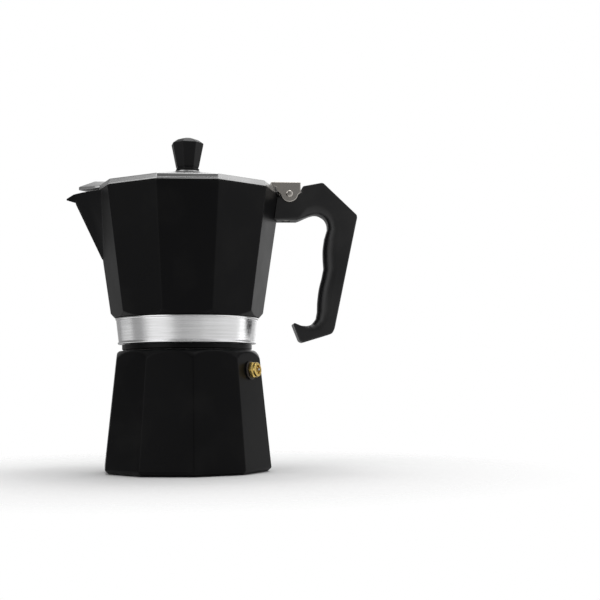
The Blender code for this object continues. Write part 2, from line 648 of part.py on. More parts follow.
def build_lid(bare):
    lip_low, lip_high = LID_LIP
    edge = LID_EDGE_RADIUS
    boss = LID_BOSS_HEIGHT
    hole = SCREW_HOLE_RADIUS
    skirt = chamber_corner_radius(CHAMBER_RIM) - CHAMBER_WALL - 0.0006
    rings = [circle(hole, boss), circle(LID_BOSS_RADIUS - 0.0003, boss),
             circle(LID_BOSS_RADIUS, boss - 0.0007),
             decagon(LID_BOSS_RADIUS + 0.0014, boss - 0.0012), decagon(edge - 0.0004, LID_EDGE_HEIGHT),
             decagon(edge, LID_EDGE_HEIGHT - 0.0004), decagon(edge + 0.0004, lip_high),
             decagon(LID_LIP_RADIUS - 0.0002, lip_high), decagon(LID_LIP_RADIUS, lip_low + 0.0002),
             decagon(LID_LIP_RADIUS - 0.0002, lip_low), decagon(skirt, lip_low),
             decagon(skirt, lip_low - 0.0016), decagon(skirt - LID_SHEET, lip_low - 0.0016),
             decagon(skirt - LID_SHEET, LID_EDGE_HEIGHT - 0.0022),
             decagon(LID_BOSS_RADIUS + 0.0020, boss - 0.0028), circle(LID_BOSS_RADIUS, boss - 0.0032),
             circle(hole, boss - 0.0032)]
    pivot = (PIN_X, 0.0, PIN_Z)
    lid = add_object("lid", skin(rings, closed=True), bare, pivot)
    beak = [(-0.0669, 0.0, 0.1749), (-0.0669, 0.0, 0.1728), (-0.0572, 0.0, 0.1785), (-0.0440, 0.0, 0.1785)]
    beak += mirrored([(-0.0570, 0.0094, 0.1723), (-0.0566, 0.0098, 0.1738), (-0.0500, 0.0128, 0.1726),
                      (-0.0470, 0.0100, 0.1755)])
    combine(lid, hull(beak), "UNION")
    tab = [(0.0480, 0.1730), (0.0540, 0.1720), (0.0577, 0.1720), (0.0577, 0.1768), (0.0480, 0.1768)]
    combine(lid, prism(tab, HANDLE_HALF_WIDTH - 0.0002), "UNION")
    for y in (-0.0045, 0.0045):
        combine(lid, rivet_hole(y), "DIFFERENCE")


def build_knob(bakelite, steel):
    def octagon(radius, height):
        return circle(radius, height, KNOB_SIDES, KNOB_CORNER)

    foot = KNOB_FOOT
    bore = SCREW_HOLE_RADIUS
    wide = KNOB_WIDEST_HEIGHT
    waist, widest = KNOB_WAIST_RADIUS, KNOB_WIDEST_RADIUS
    rings = [octagon(bore, wide - 0.0060), octagon(bore, foot), octagon(waist, foot),
             octagon(waist + 0.0003, foot + 0.0012), octagon(waist - 0.0006, foot + 0.0016),
             octagon(waist, foot + 0.0026), octagon(widest, wide - 0.0006), octagon(widest - 0.0003, wide),
             octagon(widest - 0.0035, wide + 0.0022), octagon(0.0030, KNOB_TOP)]
    pivot = (PIN_X, 0.0, PIN_Z)
    add_object("knob", skin(rings, closed=False), bakelite, pivot)
    under_lid = LID_BOSS_HEIGHT - 0.0032
    screw = [(0.0030, under_lid - 0.0022), (0.0038, under_lid - 0.0014), (0.0038, under_lid - GAP),
             (0.0019, under_lid - GAP), (0.0019, wide - 0.0080), (0.0012, wide - 0.0070)]
    add_object("knob_screw", turned(screw, points=16), steel, pivot)


def build_all():
    clear_scene()
    paint = finish("black_paint", (0.012, 0.012, 0.013), 0.42, 0.0)
    bare = finish("bare_aluminium", (0.62, 0.62, 0.63), 0.34, 1.0)
    steel = finish("pressed_steel", (0.55, 0.53, 0.50), 0.28, 1.0)
    brass = finish("brass", (0.72, 0.47, 0.14), 0.25, 1.0)
    bakelite = finish("bakelite", (0.014, 0.014, 0.015), 0.38, 0.0)
    rubber = finish("gasket_rubber", (0.75, 0.74, 0.70), 0.60, 0.0)
    fibre = finish("washer_fibre", (0.020, 0.015, 0.012), 0.70, 0.0)
    build_boiler(paint)
    build_collar(bare)
    build_upper_chamber(paint)
    build_column(bare)
    build_strainers(bare, steel)
    build_funnel(bare)
    build_gasket(rubber)
    build_valve(brass, steel, fibre)
    build_handle(bakelite, steel)
    build_hinge_pin(steel)
    build_hinge_leaf(steel)
    build_lid(bare)
    build_knob(bakelite, steel)


build_all()
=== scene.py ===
"""The looks of the ten-sided stovetop espresso pot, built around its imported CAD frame. Metres, +Z up."""

import json
import math

import bmesh
import bpy
from mathutils import Euler, Matrix, Vector


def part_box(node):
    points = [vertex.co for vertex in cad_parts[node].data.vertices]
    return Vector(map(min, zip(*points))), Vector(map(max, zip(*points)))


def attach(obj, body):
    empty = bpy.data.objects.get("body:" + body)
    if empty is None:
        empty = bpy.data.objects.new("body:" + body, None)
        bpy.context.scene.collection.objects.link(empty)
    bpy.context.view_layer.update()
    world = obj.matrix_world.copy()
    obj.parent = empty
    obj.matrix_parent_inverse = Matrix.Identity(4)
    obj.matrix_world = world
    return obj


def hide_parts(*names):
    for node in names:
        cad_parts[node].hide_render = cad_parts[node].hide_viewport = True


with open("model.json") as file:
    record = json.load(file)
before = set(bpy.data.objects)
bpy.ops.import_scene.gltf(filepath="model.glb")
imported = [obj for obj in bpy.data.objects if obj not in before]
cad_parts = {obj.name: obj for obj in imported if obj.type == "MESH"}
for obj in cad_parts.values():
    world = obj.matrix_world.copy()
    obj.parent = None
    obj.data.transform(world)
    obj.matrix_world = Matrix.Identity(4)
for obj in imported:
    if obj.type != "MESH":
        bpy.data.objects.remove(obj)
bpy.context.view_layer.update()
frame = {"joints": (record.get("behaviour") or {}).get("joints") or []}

SIDES = 10
HALF_SIDE = math.pi / SIDES
TURN = 2 * math.pi


# ---------------------------------------------------------------- places, read from the frame

def joint(name):
    return next(j for j in frame["joints"] if j["name"] == name)


BOILER_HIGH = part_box("boiler")[1]
COLLAR_LOW, COLLAR_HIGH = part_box("threaded_collar")
KNOB_LOW, KNOB_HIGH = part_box("knob")
PIN = Vector(joint("lid_open")["pos_m"])
VALVE_AXIS = Vector(joint("valve_release")["axis"])

GAP = 0.0003                    # clearance between parts that fit into each other
PIN_HOLE = 0.0017
MOUTH_HEIGHT = BOILER_HIGH.z
COLLAR_BOTTOM, COLLAR_TOP = COLLAR_LOW.z, COLLAR_HIGH.z
CHAMBER_FOOT = COLLAR_TOP + GAP
LID_BOSS = KNOB_LOW.z - GAP
KNOB_TOP = KNOB_HIGH.z


# ---------------------------------------------------------------- mesh helpers

def new_object(name, shape, sharp=35):
    bmesh.ops.recalc_face_normals(shape, faces=shape.faces)
    mesh = bpy.data.meshes.new(name)
    shape.to_mesh(mesh)
    shape.free()
    mesh.shade_smooth()
    mesh.set_sharp_from_angle(angle=math.radians(sharp))
    made = bpy.data.objects.new(name, mesh)
    bpy.context.collection.objects.link(made)
    return made


def apply_modifiers(made, sharp=35):
    """Turns the object's modifiers into plain mesh."""
    bpy.context.view_layer.update()
    evaluated = made.evaluated_get(bpy.context.evaluated_depsgraph_get())
    mesh = bpy.data.meshes.new_from_object(evaluated)
    made.modifiers.clear()
    made.data = mesh
    mesh.shade_smooth()
    mesh.set_sharp_from_angle(angle=math.radians(sharp))


def bevelled(shape, width, segments=2, angle=25):
    """A helper shape with rounded edges, as an object."""
    helper = new_object("helper", shape)
    bevel = helper.modifiers.new("round", "BEVEL")
    bevel.width = width
    bevel.segments = segments
    bevel.limit_method = "ANGLE"
    bevel.angle_limit = math.radians(angle)
    apply_modifiers(helper)
    return helper


def combine(target, tool, operation):
    """Cuts a helper out of a piece, or adds it, and removes the helper."""
    if isinstance(tool, bmesh.types.BMesh):
        tool = new_object("helper", tool)
    boolean = target.modifiers.new("boolean", "BOOLEAN")
    boolean.operation = operation
    boolean.solver = "EXACT"
    boolean.object = tool
    apply_modifiers(target)
    bpy.data.objects.remove(tool, do_unlink=True)


def place(made, material, body, node, slot, weighted=True):
    """Gives a piece its material, hangs it on the body it rides on and hides the CAD node it stands for."""
    made.data.materials.clear()
    made.data.materials.append(material)
    if weighted:
        made.modifiers.new("flat_faces_stay_flat", "WEIGHTED_NORMAL").keep_sharp = True
    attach(made, body)
    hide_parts(node)
    return made


def skin(rings, closed=False):
    """Joins rings of equal length: closed into a tube section, or capped at both ends."""
    shape = bmesh.new()
    rows = [[shape.verts.new(point) for point in ring] for ring in rings]
    pairs = list(zip(rows, rows[1:]))
    if closed:
        pairs.append((rows[-1], rows[0]))
    else:
        shape.faces.new(rows[0])
        shape.faces.new(rows[-1])
    for one, two in pairs:
        for i in range(len(one)):
            j = (i + 1) % len(one)
            shape.faces.new((one[i], one[j], two[j], two[i]))
    return shape


def even_angles(points, start=0.0):
    return [start + TURN * i / points for i in range(points)]


def polar_ring(angles, radius_at, height_at):
    """A ring of points about Z. The radius may depend on angle and height, the height on the angle."""
    points = []
    for angle in angles:
        height = height_at(angle)
        radius = radius_at(angle, height)
        points.append((radius * math.cos(angle), radius * math.sin(angle), height))
    return points


def circle(angles, radius, height):
    return polar_ring(angles, lambda a, z: radius, lambda a: height)


def turned(profile, points=96, closed=False):
    """A turned shape about Z from (radius, height) pairs."""
    angles = even_angles(points)
    return skin([circle(angles, radius, height) for radius, height in profile], closed)


def soft_corner(before, here, after, reach, steps):
    """Points on a curve round one corner, starting and ending at most reach from it."""
    before, here, after = Vector(before), Vector(here), Vector(after)
    reach = min(reach, (before - here).length * 0.45, (after - here).length * 0.45)
    start = here + (before - here).normalized() * reach
    end = here + (after - here).normalized() * reach
    shares = [step / steps for step in range(steps + 1)]
    return [tuple((1 - t) ** 2 * start + 2 * t * (1 - t) * here + t ** 2 * end) for t in shares]


def rounded(profile, reach, steps=3, closed=False):
    """The profile with all its corners softened."""
    result = []
    for i, here in enumerate(profile):
        if closed or 0 < i < len(profile) - 1:
            result += soft_corner(profile[i - 1], here, profile[(i + 1) % len(profile)], reach, steps)
        else:
            result.append(here)
    return result


def prism(outline, half_width):
    """An outline of (x, z) points, given width along Y."""
    return skin([[(x, y, z) for x, z in outline] for y in (-half_width, half_width)])


def rod(radius, start, end, points=32):
    start, end = Vector(start), Vector(end)
    shape = turned([(radius, 0.0), (radius, (end - start).length)], points)
    turn = Vector((0, 0, 1)).rotation_difference(end - start).to_matrix().to_4x4()
    bmesh.ops.transform(shape, matrix=Matrix.Translation(start) @ turn, verts=shape.verts)
    return shape


def hull(points):
    shape = bmesh.new()
    corners = [shape.verts.new(point) for point in points]
    result = bmesh.ops.convex_hull(shape, input=corners)
    unused = [v for v in result["geom_interior"] if isinstance(v, bmesh.types.BMVert)]
    bmesh.ops.delete(shape, geom=unused, context="VERTS")
    bmesh.ops.dissolve_limit(shape, angle_limit=0.01, verts=shape.verts, edges=shape.edges)
    return shape


def mirrored(points):
    return [twin for x, y, z in points for twin in ((x, y, z), (x, -y, z))]


def moved(shape, matrix):
    bmesh.ops.transform(shape, matrix=matrix, verts=shape.verts)
    return shape


def arc(centre, radius, start, end, steps):
    turns = [math.radians(start + (end - start) * i / steps) for i in range(steps + 1)]
    return [(centre[0] + radius * math.cos(a), centre[1] + radius * math.sin(a)) for a in turns]


def curve_through(points, steps):
    """Points on a smooth Catmull-Rom curve through the given ones."""
    ends = [points[0]] + list(points) + [points[-1]]
    curve = []
    for before, start, end, after in zip(ends, ends[1:], ends[2:], ends[3:]):
        for step in range(steps):
            t = step / steps
            curve.append(tuple(
                0.5 * (2 * b + (c - a) * t + (2 * a - 5 * b + 4 * c - d) * t ** 2
                       + (3 * b - a - 3 * c + d) * t ** 3)
                for a, b, c, d in zip(before, start, end, after)))
    return curve + [points[-1]]


# ---------------------------------------------------------------- ten-sided bodies

def corner_turn(corner_radius, fillet, sides=SIDES):
    """The angle from a corner at which its rounded edge meets the flat."""
    half = math.pi / sides
    centre = corner_radius - fillet / math.cos(half)
    return math.atan2(fillet * math.sin(half), centre + fillet * math.cos(half))


def facet_radius(angle, corner_radius, fillet, corner=0.0, sides=SIDES):
    """A many-sided outline's radius at an angle, with its corners rounded by a fillet."""
    half = math.pi / sides
    off = abs((angle - corner + half) % (2 * half) - half)
    if off < corner_turn(corner_radius, fillet, sides):
        centre = corner_radius - fillet / math.cos(half)
        return centre * math.cos(off) + math.sqrt(max(0.0, fillet ** 2 - (centre * math.sin(off)) ** 2))
    return corner_radius * math.cos(half) / math.cos(half - off)


def facet_angles(corner_radius, fillet, corner=0.0, sides=SIDES, inner=8):
    """Angles round a many-sided body: close together over each rounded edge, even over each flat."""
    half = math.pi / sides
    edge = corner_turn(corner_radius, fillet, sides)
    pattern = [-edge, -edge / 2, 0.0, edge / 2]
    pattern += [edge + (2 * half - 2 * edge) * i / inner for i in range(inner)]
    return [corner + 2 * half * side + off for side in range(sides) for off in pattern]


def soft_min(one, two, reach):
    """The smaller of two lengths, blended where they cross."""
    mix = max(0.0, reach - abs(one - two)) / reach
    return min(one, two) - mix * mix * reach / 4


# ---------------------------------------------------------------- boiler

BOILER_CORNER = math.radians(22.3)
BOILER_RADIUS = 0.0526          # to the corners, at the foot
BOILER_TAPER = 0.1057
EDGE_ROUND = 0.0015             # rounding of the long edges between the facets
CREASE = 0.00025                # softening where two surfaces run into each other
SHOULDER_CENTRE = (0.0351, 0.0644)
SHOULDER_ROUND = 0.01087
SHOULDER_TOP = 0.0731
NECK_RING = 0.0398
NECK_RING_TOP = 0.0771
NECK_ROOT = 0.0354
BOILER_MOUTH = 0.0320
NECK_THREAD = (0.0785, 0.0885)  # lowest and highest point of the thread on the neck
COLLAR_THREAD = (0.0780, 0.0880)
COLLAR_BORE = 0.0377
THREAD_PITCH = 0.0040
THREAD_DEPTH = 0.00095
THREAD_SHARPNESS = 2.2          # how flat the crests and roots are, against how steep the flanks
VALVE_HEIGHT = 0.0608
VALVE_TURN = BOILER_CORNER - 3 * HALF_SIDE


def boiler_radius(height):
    return BOILER_RADIUS - BOILER_TAPER * height


def boiler_facet(angle, height):
    return facet_radius(angle, boiler_radius(height), EDGE_ROUND, BOILER_CORNER)


def shoulder_radius(height):
    return SHOULDER_CENTRE[0] + math.sqrt(max(0.0, SHOULDER_ROUND ** 2 - (height - SHOULDER_CENTRE[1]) ** 2))


def arch_height(angle):
    """Where a boiler facet runs out into the rounded shoulder: an arch over each facet."""
    low, high = SHOULDER_CENTRE[1] - 0.0030, SHOULDER_TOP
    for _ in range(30):
        middle = (low + high) / 2
        if boiler_facet(angle, middle) < shoulder_radius(middle):
            low = middle
        else:
            high = middle
    return low


def thread(angles, root, sign, low, high, half_turn=0.0, rows_per_turn=14):
    """Rings of a rounded screw thread that fades out at both ends."""
    rings = []
    rows = round((high - low) / THREAD_PITCH * rows_per_turn)
    for row in range(rows + 1):
        height = low + (high - low) * row / rows
        fade = max(0.0, min(1.0, (height - low) / (THREAD_PITCH / 2), (high - height) / (THREAD_PITCH / 2)))

        def radius(angle, z, fade=fade):
            wave = math.cos(TURN * (z / THREAD_PITCH - angle / TURN + half_turn))
            crest = math.tanh(THREAD_SHARPNESS * wave) / math.tanh(THREAD_SHARPNESS)
            return root + sign * THREAD_DEPTH * fade * (0.5 + 0.5 * crest)

        rings.append(polar_ring(angles, radius, lambda a, z=height: z))
    return rings


def valve_matrix():
    """Lays a shape turned about Z on the valve's axis, with 0 at the boiler's facet."""
    out = Vector((math.cos(VALVE_TURN), math.sin(VALVE_TURN), 0.0))
    seat = out * boiler_radius(VALVE_HEIGHT) * math.cos(HALF_SIDE) + Vector((0, 0, VALVE_HEIGHT))
    return Matrix.Translation(seat) @ Vector((0, 0, 1)).rotation_difference(VALVE_AXIS).to_matrix().to_4x4()


def build_boiler(paint):
    angles = facet_angles(BOILER_RADIUS, EDGE_ROUND, BOILER_CORNER)
    foot = rounded([(BOILER_RADIUS - 0.0060, 0.0005), (BOILER_RADIUS - 0.0056, 0.0),
                    (BOILER_RADIUS - 0.0028, 0.0), (boiler_radius(0.0022), 0.0022), (boiler_radius(0.0600),
                    0.0600)], 0.0009)
    rings = []
    for corner_radius, height in foot[:-1]:
        rings.append(polar_ring(
            angles, lambda a, z, r=corner_radius: facet_radius(a, r, EDGE_ROUND, BOILER_CORNER),
            lambda a, z=height: z))
    for height in (0.012, 0.026, 0.042, 0.054):
        rings.append(polar_ring(angles, boiler_facet, lambda a, z=height: z))
    arches = {angle: arch_height(angle) for angle in angles}

    def shoulder(angle, height):
        return soft_min(boiler_facet(angle, height), shoulder_radius(height), CREASE)

    for below in (0.0026, 0.0012, 0.0005, 0.0, -0.0005):
        rings.append(polar_ring(angles, shoulder, lambda a, b=below: arches[a] - b))
    for share in (0.2, 0.4, 0.6, 0.8, 1.0):
        rings.append(polar_ring(angles, shoulder, lambda a, s=share: (
            (arches[a] + 0.0005) * (1 - s) + SHOULDER_TOP * s)))
    groove = NECK_RING - 0.0007
    neck = [(groove + 0.0006, SHOULDER_TOP + 0.00005), (groove, SHOULDER_TOP + 0.0003),
            (groove, SHOULDER_TOP + 0.0007), (NECK_RING, SHOULDER_TOP + 0.0010),
            (NECK_RING, NECK_RING_TOP), (NECK_ROOT, NECK_RING_TOP), (NECK_ROOT, NECK_RING_TOP + 0.0009)]
    rings += [circle(angles, radius, height) for radius, height in rounded(neck, 0.0006)]
    rings += thread(angles, NECK_ROOT, 1, *NECK_THREAD)
    inside = [(NECK_ROOT, MOUTH_HEIGHT - 0.0012), (NECK_ROOT, MOUTH_HEIGHT), (BOILER_MOUTH, MOUTH_HEIGHT),
              (BOILER_MOUTH, 0.0766), (BOILER_MOUTH + 0.0068, 0.0706), (BOILER_MOUTH + 0.0083, 0.0661),
              (0.0463, 0.0066), (0.0430, 0.0031), (0.0200, 0.0029)]
    rings += [circle(angles, radius, height) for radius, height in rounded(inside, 0.0009)]
    boiler = new_object("boiler_body", skin(rings))
    hole = moved(rod(0.0037, (0, 0, -0.012), (0, 0, 0.004), 48), valve_matrix())
    combine(boiler, hole, "DIFFERENCE")
    place(boiler, paint, "boiler", "boiler", "black_paint")


def polygon_ring(angles, corner_radius, height, sides, fillet=0.0003):
    return polar_ring(angles, lambda a, z: facet_radius(a, corner_radius, fillet, 0.0, sides),
                      lambda a: height)


def build_valve(brass, steel, fibre):
    """Each piece of the valve is turned about Z with the boiler's facet at 0, and then laid on it."""
    on_facet = valve_matrix()
    washer = turned(rounded([(0.0037, 0.0003), (0.0056, 0.0003), (0.0056, 0.0012), (0.0037, 0.0012)], 0.0003,
                            closed=True), 48, closed=True)
    place(new_object("valve_washer_ring", moved(washer, on_facet)), fibre, "boiler", "valve_washer",
          "washer_fibre")
    angles = facet_angles(0.0052, 0.0003, 0.0, 6, 6)
    rings = [circle(angles, 0.0012, -0.0080), circle(angles, 0.0031, -0.0080),
             circle(angles, 0.0034, -0.0077), circle(angles, 0.0034, 0.0015), circle(angles, 0.0044, 0.0015),
             polygon_ring(angles, 0.0051, 0.0017, 6), polygon_ring(angles, 0.0052, 0.0018, 6),
             polygon_ring(angles, 0.0052, 0.0033, 6), polygon_ring(angles, 0.0050, 0.0036, 6)]
    rings += [circle(angles, radius, height) for radius, height in rounded([
        (0.0044, 0.0038), (0.0042, 0.0040), (0.0042, 0.0054), (0.0038, 0.0058), (0.0026, 0.0058),
        (0.0026, 0.0052)],
        0.0002)]
    rings += [circle(angles, 0.0026, -0.0055), circle(angles, 0.0012, -0.0055)]
    body = new_object("valve_brass_body", moved(skin(rings, closed=True), on_facet))
    place(body, brass, "boiler", "valve_body", "valve_brass")
    cap = turned(rounded([(0.0012, 0.0036), (0.0023, 0.0036), (0.0023, 0.0048), (0.0012, 0.0048)], 0.00025,
                         closed=True), 40, closed=True)
    place(new_object("valve_cap_ring", moved(cap, on_facet)), brass, "boiler", "valve_cap", "valve_brass")
    pin = turned(rounded([(0.0003, -0.0068), (0.0009, -0.0066), (0.0009, -0.0053), (0.0022, -0.0052),
                          (0.0022, -0.0042), (0.0008, -0.0041), (0.0008, 0.0062), (0.0003, 0.0064)],
                          0.0002), 32)
    place(new_object("valve_pin", moved(pin, on_facet)), steel, "valve_plunger", "valve_plunger",
          "hinge_steel")
    steps, sides, coils = 168, 10, 6
    coil_radius, wire_radius, low, length = 0.0017, 0.0003, -0.0036, 0.0066
    rings = []
    for step in range(steps + 1):
        angle = TURN * coils * step / steps
        out = Vector((math.cos(angle), math.sin(angle), 0.0))
        middle = out * coil_radius + Vector((0, 0, low + length * step / steps))
        rings.append([middle + wire_radius * (out * math.cos(turn) + Vector((0, 0, math.sin(turn))))
                      for turn in even_angles(sides)])
    spring = new_object("valve_spring_coil", moved(skin(rings), on_facet))
    place(spring, steel, "boiler", "valve_spring", "hinge_steel", weighted=False)


# ---------------------------------------------------------------- collar, seal and funnel

def build_collar(bare):
    low, high = COLLAR_BOTTOM, COLLAR_TOP
    bottom, top, lip = 0.0419, 0.0434, 0.0005
    angles = even_angles(160)
    outside = [(0.0384, low), (bottom + lip, low), (bottom + lip, low + 0.0010), (bottom, low + 0.0012),
               (bottom, low + 0.0016), (top, high - 0.0016), (top, high - 0.0012),
               (top + lip, high - 0.0010), (top + lip, high), (0.0385, high), (0.0385, 0.0893),
               (0.0377, 0.0887), (0.0377, 0.0881)]
    outside = rounded(outside, 0.0004)
    rings = [circle(angles, radius, height) for radius, height in outside[1:-1]]
    rings += reversed(thread(angles, COLLAR_BORE, -1, *COLLAR_THREAD, 0.5))
    rings.append(circle(angles, 0.0380, low + 0.0002))
    collar = new_object("collar_band", skin(rings, closed=True))
    place(collar, bare, "top", "threaded_collar", "bare_aluminium")


def perforated_disc(radius, low, high, hole_radius, rows, points=12):
    """A flat disc pierced by rings of round holes: each row is its radius and its number of holes."""
    shape = bmesh.new()
    loops = [circle(even_angles(96), radius, low)]
    for row_radius, count in rows:
        for turn in even_angles(count, row_radius * 40):
            x, y = row_radius * math.cos(turn), row_radius * math.sin(turn)
            hole = circle(even_angles(points), hole_radius, low)
            loops.append([(x + px, y + py, z) for px, py, z in hole])
    for loop in loops:
        corners = [shape.verts.new(point) for point in loop]
        for i, corner in enumerate(corners):
            shape.edges.new((corner, corners[(i + 1) % len(corners)]))
    bmesh.ops.triangle_fill(shape, edges=shape.edges[:], use_beauty=True)
    grown = bmesh.ops.extrude_face_region(shape, geom=shape.faces[:])
    top = [v for v in grown["geom"] if isinstance(v, bmesh.types.BMVert)]
    bmesh.ops.translate(shape, verts=top, vec=(0, 0, high - low))
    return shape


def build_inside(bare, steel, rubber):
    rows = [(0.0, 1), (0.0035, 6), (0.0070, 12), (0.0105, 18), (0.0140, 24), (0.0175, 30), (0.0210, 36),
            (0.0240, 40)]
    plate = new_object("filter_plate_sheet", perforated_disc(0.0290, 0.0922, 0.0931, 0.0007, rows, 8))
    place(plate, steel, "filter", "filter_plate", "filter_steel", weighted=False)
    rows = [(0.0, 1), (0.0045, 6), (0.0090, 12), (0.0135, 18), (0.0180, 24), (0.0225, 30), (0.0265, 34)]
    disc = new_object("funnel_strainer_sheet", perforated_disc(0.0298, 0.0673, 0.0681, 0.0008, rows, 8))
    place(disc, bare, "funnel", "funnel_strainer", "bare_aluminium", weighted=False)
    profile = [(0.0350, 0.0911), (0.0304, 0.0911), (0.0304, 0.0670), (0.0280, 0.0668), (0.0036, 0.0580),
               (0.0036, 0.0080), (0.0044, 0.0080), (0.0044, 0.0574), (0.0284, 0.0660), (0.0312, 0.0662),
               (0.0312, 0.0840), (0.0310, 0.0844), (0.0310, 0.0852), (0.0312, 0.0856), (0.0312, 0.0903),
               (0.0350, 0.0903)]
    funnel = new_object("funnel_basket", turned(rounded(profile, 0.0006, closed=True), 128, closed=True))
    place(funnel, bare, "funnel", "funnel", "bare_aluminium")
    profile = [(0.0293, 0.0914), (0.0356, 0.0914), (0.0359, 0.0918), (0.0359, 0.0941), (0.0293, 0.0941)]
    gasket = new_object("gasket_ring", turned(rounded(profile, 0.0005, closed=True), 128, closed=True))
    place(gasket, rubber, "seal", "gasket", "gasket_rubber")


# ---------------------------------------------------------------- upper chamber

def pin_hole():
    """The way of the hinge pin, which crosses the lug, the handle's fork and the leaf."""
    return rod(PIN_HOLE, (PIN.x, -0.02, PIN.z), (PIN.x, 0.02, PIN.z), 40)


CHAMBER_RADIUS = 0.0465         # to the corners, at the foot
CHAMBER_FLARE = 0.15
CHAMBER_WALL = 0.0028
CHAMBER_RIM = 0.1703
CHAMBER_FLOOR = 0.0972
FOOT_RADIUS = 0.0443
FOOT_SLOPE = 0.9
SPOUT_ROOT = (-0.0520, 0.1287)
SPOUT_CHIN = (-0.0685, 0.1634)
SPOUT_TIP = (-0.0742, 0.1664)
SPOUT_LIP = (-0.0693, 0.1700)
SPOUT_WALL = 0.0026
HANDLE_SCREW_X = 0.0615
LUG_WIDTH = 0.0037


def chamber_radius(height):
    return CHAMBER_RADIUS + CHAMBER_FLARE * (height - CHAMBER_FOOT)


def chamber_facet(angle, height):
    return facet_radius(angle, chamber_radius(height), EDGE_ROUND)


def scallop_height(angle):
    """Where a chamber facet leaves the turned foot: a scallop under each facet."""
    factor = facet_radius(angle, CHAMBER_RADIUS, EDGE_ROUND) / CHAMBER_RADIUS
    rise = (CHAMBER_RADIUS * factor - FOOT_RADIUS) / (FOOT_SLOPE - CHAMBER_FLARE * factor)
    return CHAMBER_FOOT + max(0.0002, rise)


def spout_half_width(x, z):
    """Half the spout's width where its flat cheeks run from the root out to the lip."""
    return 0.447 * (z - SPOUT_ROOT[1]) + 0.920 * (x - SPOUT_ROOT[0])


def spout_outside():
    """The spout's wedge and the small beak at its tip, as solids."""
    top = (SPOUT_LIP, (-0.0643, CHAMBER_RIM), (-0.0500, CHAMBER_RIM))
    edge = [(x, spout_half_width(x, z), z) for x, z in top]
    back = [(-0.0485, 0.0, SPOUT_ROOT[1] + 0.002), (-0.0485, 0.0, CHAMBER_RIM)]
    root, chin, tip = [(x, 0.0, z) for x, z in (SPOUT_ROOT, SPOUT_CHIN, SPOUT_TIP)]
    wedge = hull([root, chin] + mirrored(edge) + back)
    tip_edge = [(SPOUT_TIP[0], 0.0008, SPOUT_TIP[1] + 0.0008), edge[0], (-0.0670, 0.0030, 0.1680)]
    return wedge, hull([tip, (-0.0660, 0.0, 0.1640)] + mirrored(tip_edge))


def spout_channel():
    """What is cut out of the spout, so that its wall and a groove along the tip are left."""
    above = CHAMBER_RIM + 0.003
    edge = [(x, spout_half_width(x, above) - SPOUT_WALL, above) for x in (-0.0440, -0.0643, -0.0690)]
    turn = (-0.0663, 0.0, 0.1657)
    wedge = hull([(-0.0440, 0.0, 0.1219), turn] + mirrored(edge))
    lip_edge = [(x, 0.0009, above) for x in (-0.0655, -0.0770)]
    return wedge, hull([turn, (-0.0655, 0.0, 0.1665), (-0.0770, 0.0, 0.1684)] + mirrored(lip_edge))


def build_chamber(paint):
    angles = facet_angles(CHAMBER_RADIUS, EDGE_ROUND)

    def foot(angle, height):
        return soft_min(FOOT_RADIUS + FOOT_SLOPE * (height - CHAMBER_FOOT), chamber_facet(angle, height),
                        CREASE)

    scallops = {angle: scallop_height(angle) for angle in angles}
    under = rounded([(0.0362, CHAMBER_FLOOR - 0.0028), (0.0362, 0.0896), (0.0382, 0.0896),
                     (0.0382, CHAMBER_FOOT), (FOOT_RADIUS - 0.0004, CHAMBER_FOOT)], 0.0003)
    rings = [circle(angles, radius, height) for radius, height in under]
    for share in (0.0, 0.6, 0.85, 1.0):
        rings.append(polar_ring(angles, foot, lambda a, s=share: (
            CHAMBER_FOOT + (scallops[a] - CHAMBER_FOOT) * s + 0.00012 * (1 - s))))
    for above in (0.0004, 0.0010, 0.0025):
        rings.append(polar_ring(angles, foot, lambda a, up=above: scallops[a] + up))
    for height in (0.112, 0.130, 0.150, 0.164, CHAMBER_RIM - 0.0007):
        rings.append(polar_ring(angles, chamber_facet, lambda a, z=height: z))
    rim = chamber_radius(CHAMBER_RIM)
    for inset, drop in ((0.0001, 0.0003), (0.0003, 0.0001), (0.0007, 0.0)):
        rings.append(polar_ring(angles, lambda a, z, r=rim - inset: facet_radius(a, r, EDGE_ROUND),
                                lambda a, d=drop: CHAMBER_RIM - d))
    chamber = new_object("chamber_body", skin(rings))
    for shape in spout_outside():
        combine(chamber, bevelled(shape, 0.0006, 2), "UNION")
    lug = [(0.0540, 0.1583), (0.0663, 0.1583), (0.0677, 0.1598)] + arc((PIN.x, PIN.z), 0.0046, 0, 180, 24)
    lug += [(PIN.x - 0.0046, 0.1683), (0.0556, 0.1683)]
    combine(chamber, bevelled(prism(lug, LUG_WIDTH), 0.0004, 2, 40), "UNION")

    def inside(height, inset=0.0):
        def radius(angle, z):
            return facet_radius(angle, chamber_radius(z) - CHAMBER_WALL - inset, 0.0022)

        return polar_ring(angles, radius, lambda a: height)

    floor = CHAMBER_FLOOR
    cavity = [inside(floor, 0.0040), inside(floor + 0.0003, 0.0026), inside(floor + 0.0012, 0.0010),
              inside(floor + 0.0030), inside(0.130), inside(CHAMBER_RIM - 0.0004),
              inside(CHAMBER_RIM, -0.0004), inside(CHAMBER_RIM + 0.002, -0.0004)]
    combine(chamber, skin(cavity), "DIFFERENCE")
    for shape in spout_channel():
        combine(chamber, shape, "DIFFERENCE")
    combine(chamber, rod(0.0056, (0, 0, 0.09), (0, 0, 0.1), 48), "DIFFERENCE")
    combine(chamber, pin_hole(), "DIFFERENCE")
    x = HANDLE_SCREW_X
    combine(chamber, rod(0.0018, (x, 0, 0.150), (x, 0, 0.1660)), "DIFFERENCE")
    place(chamber, paint, "top", "upper_chamber", "black_paint")


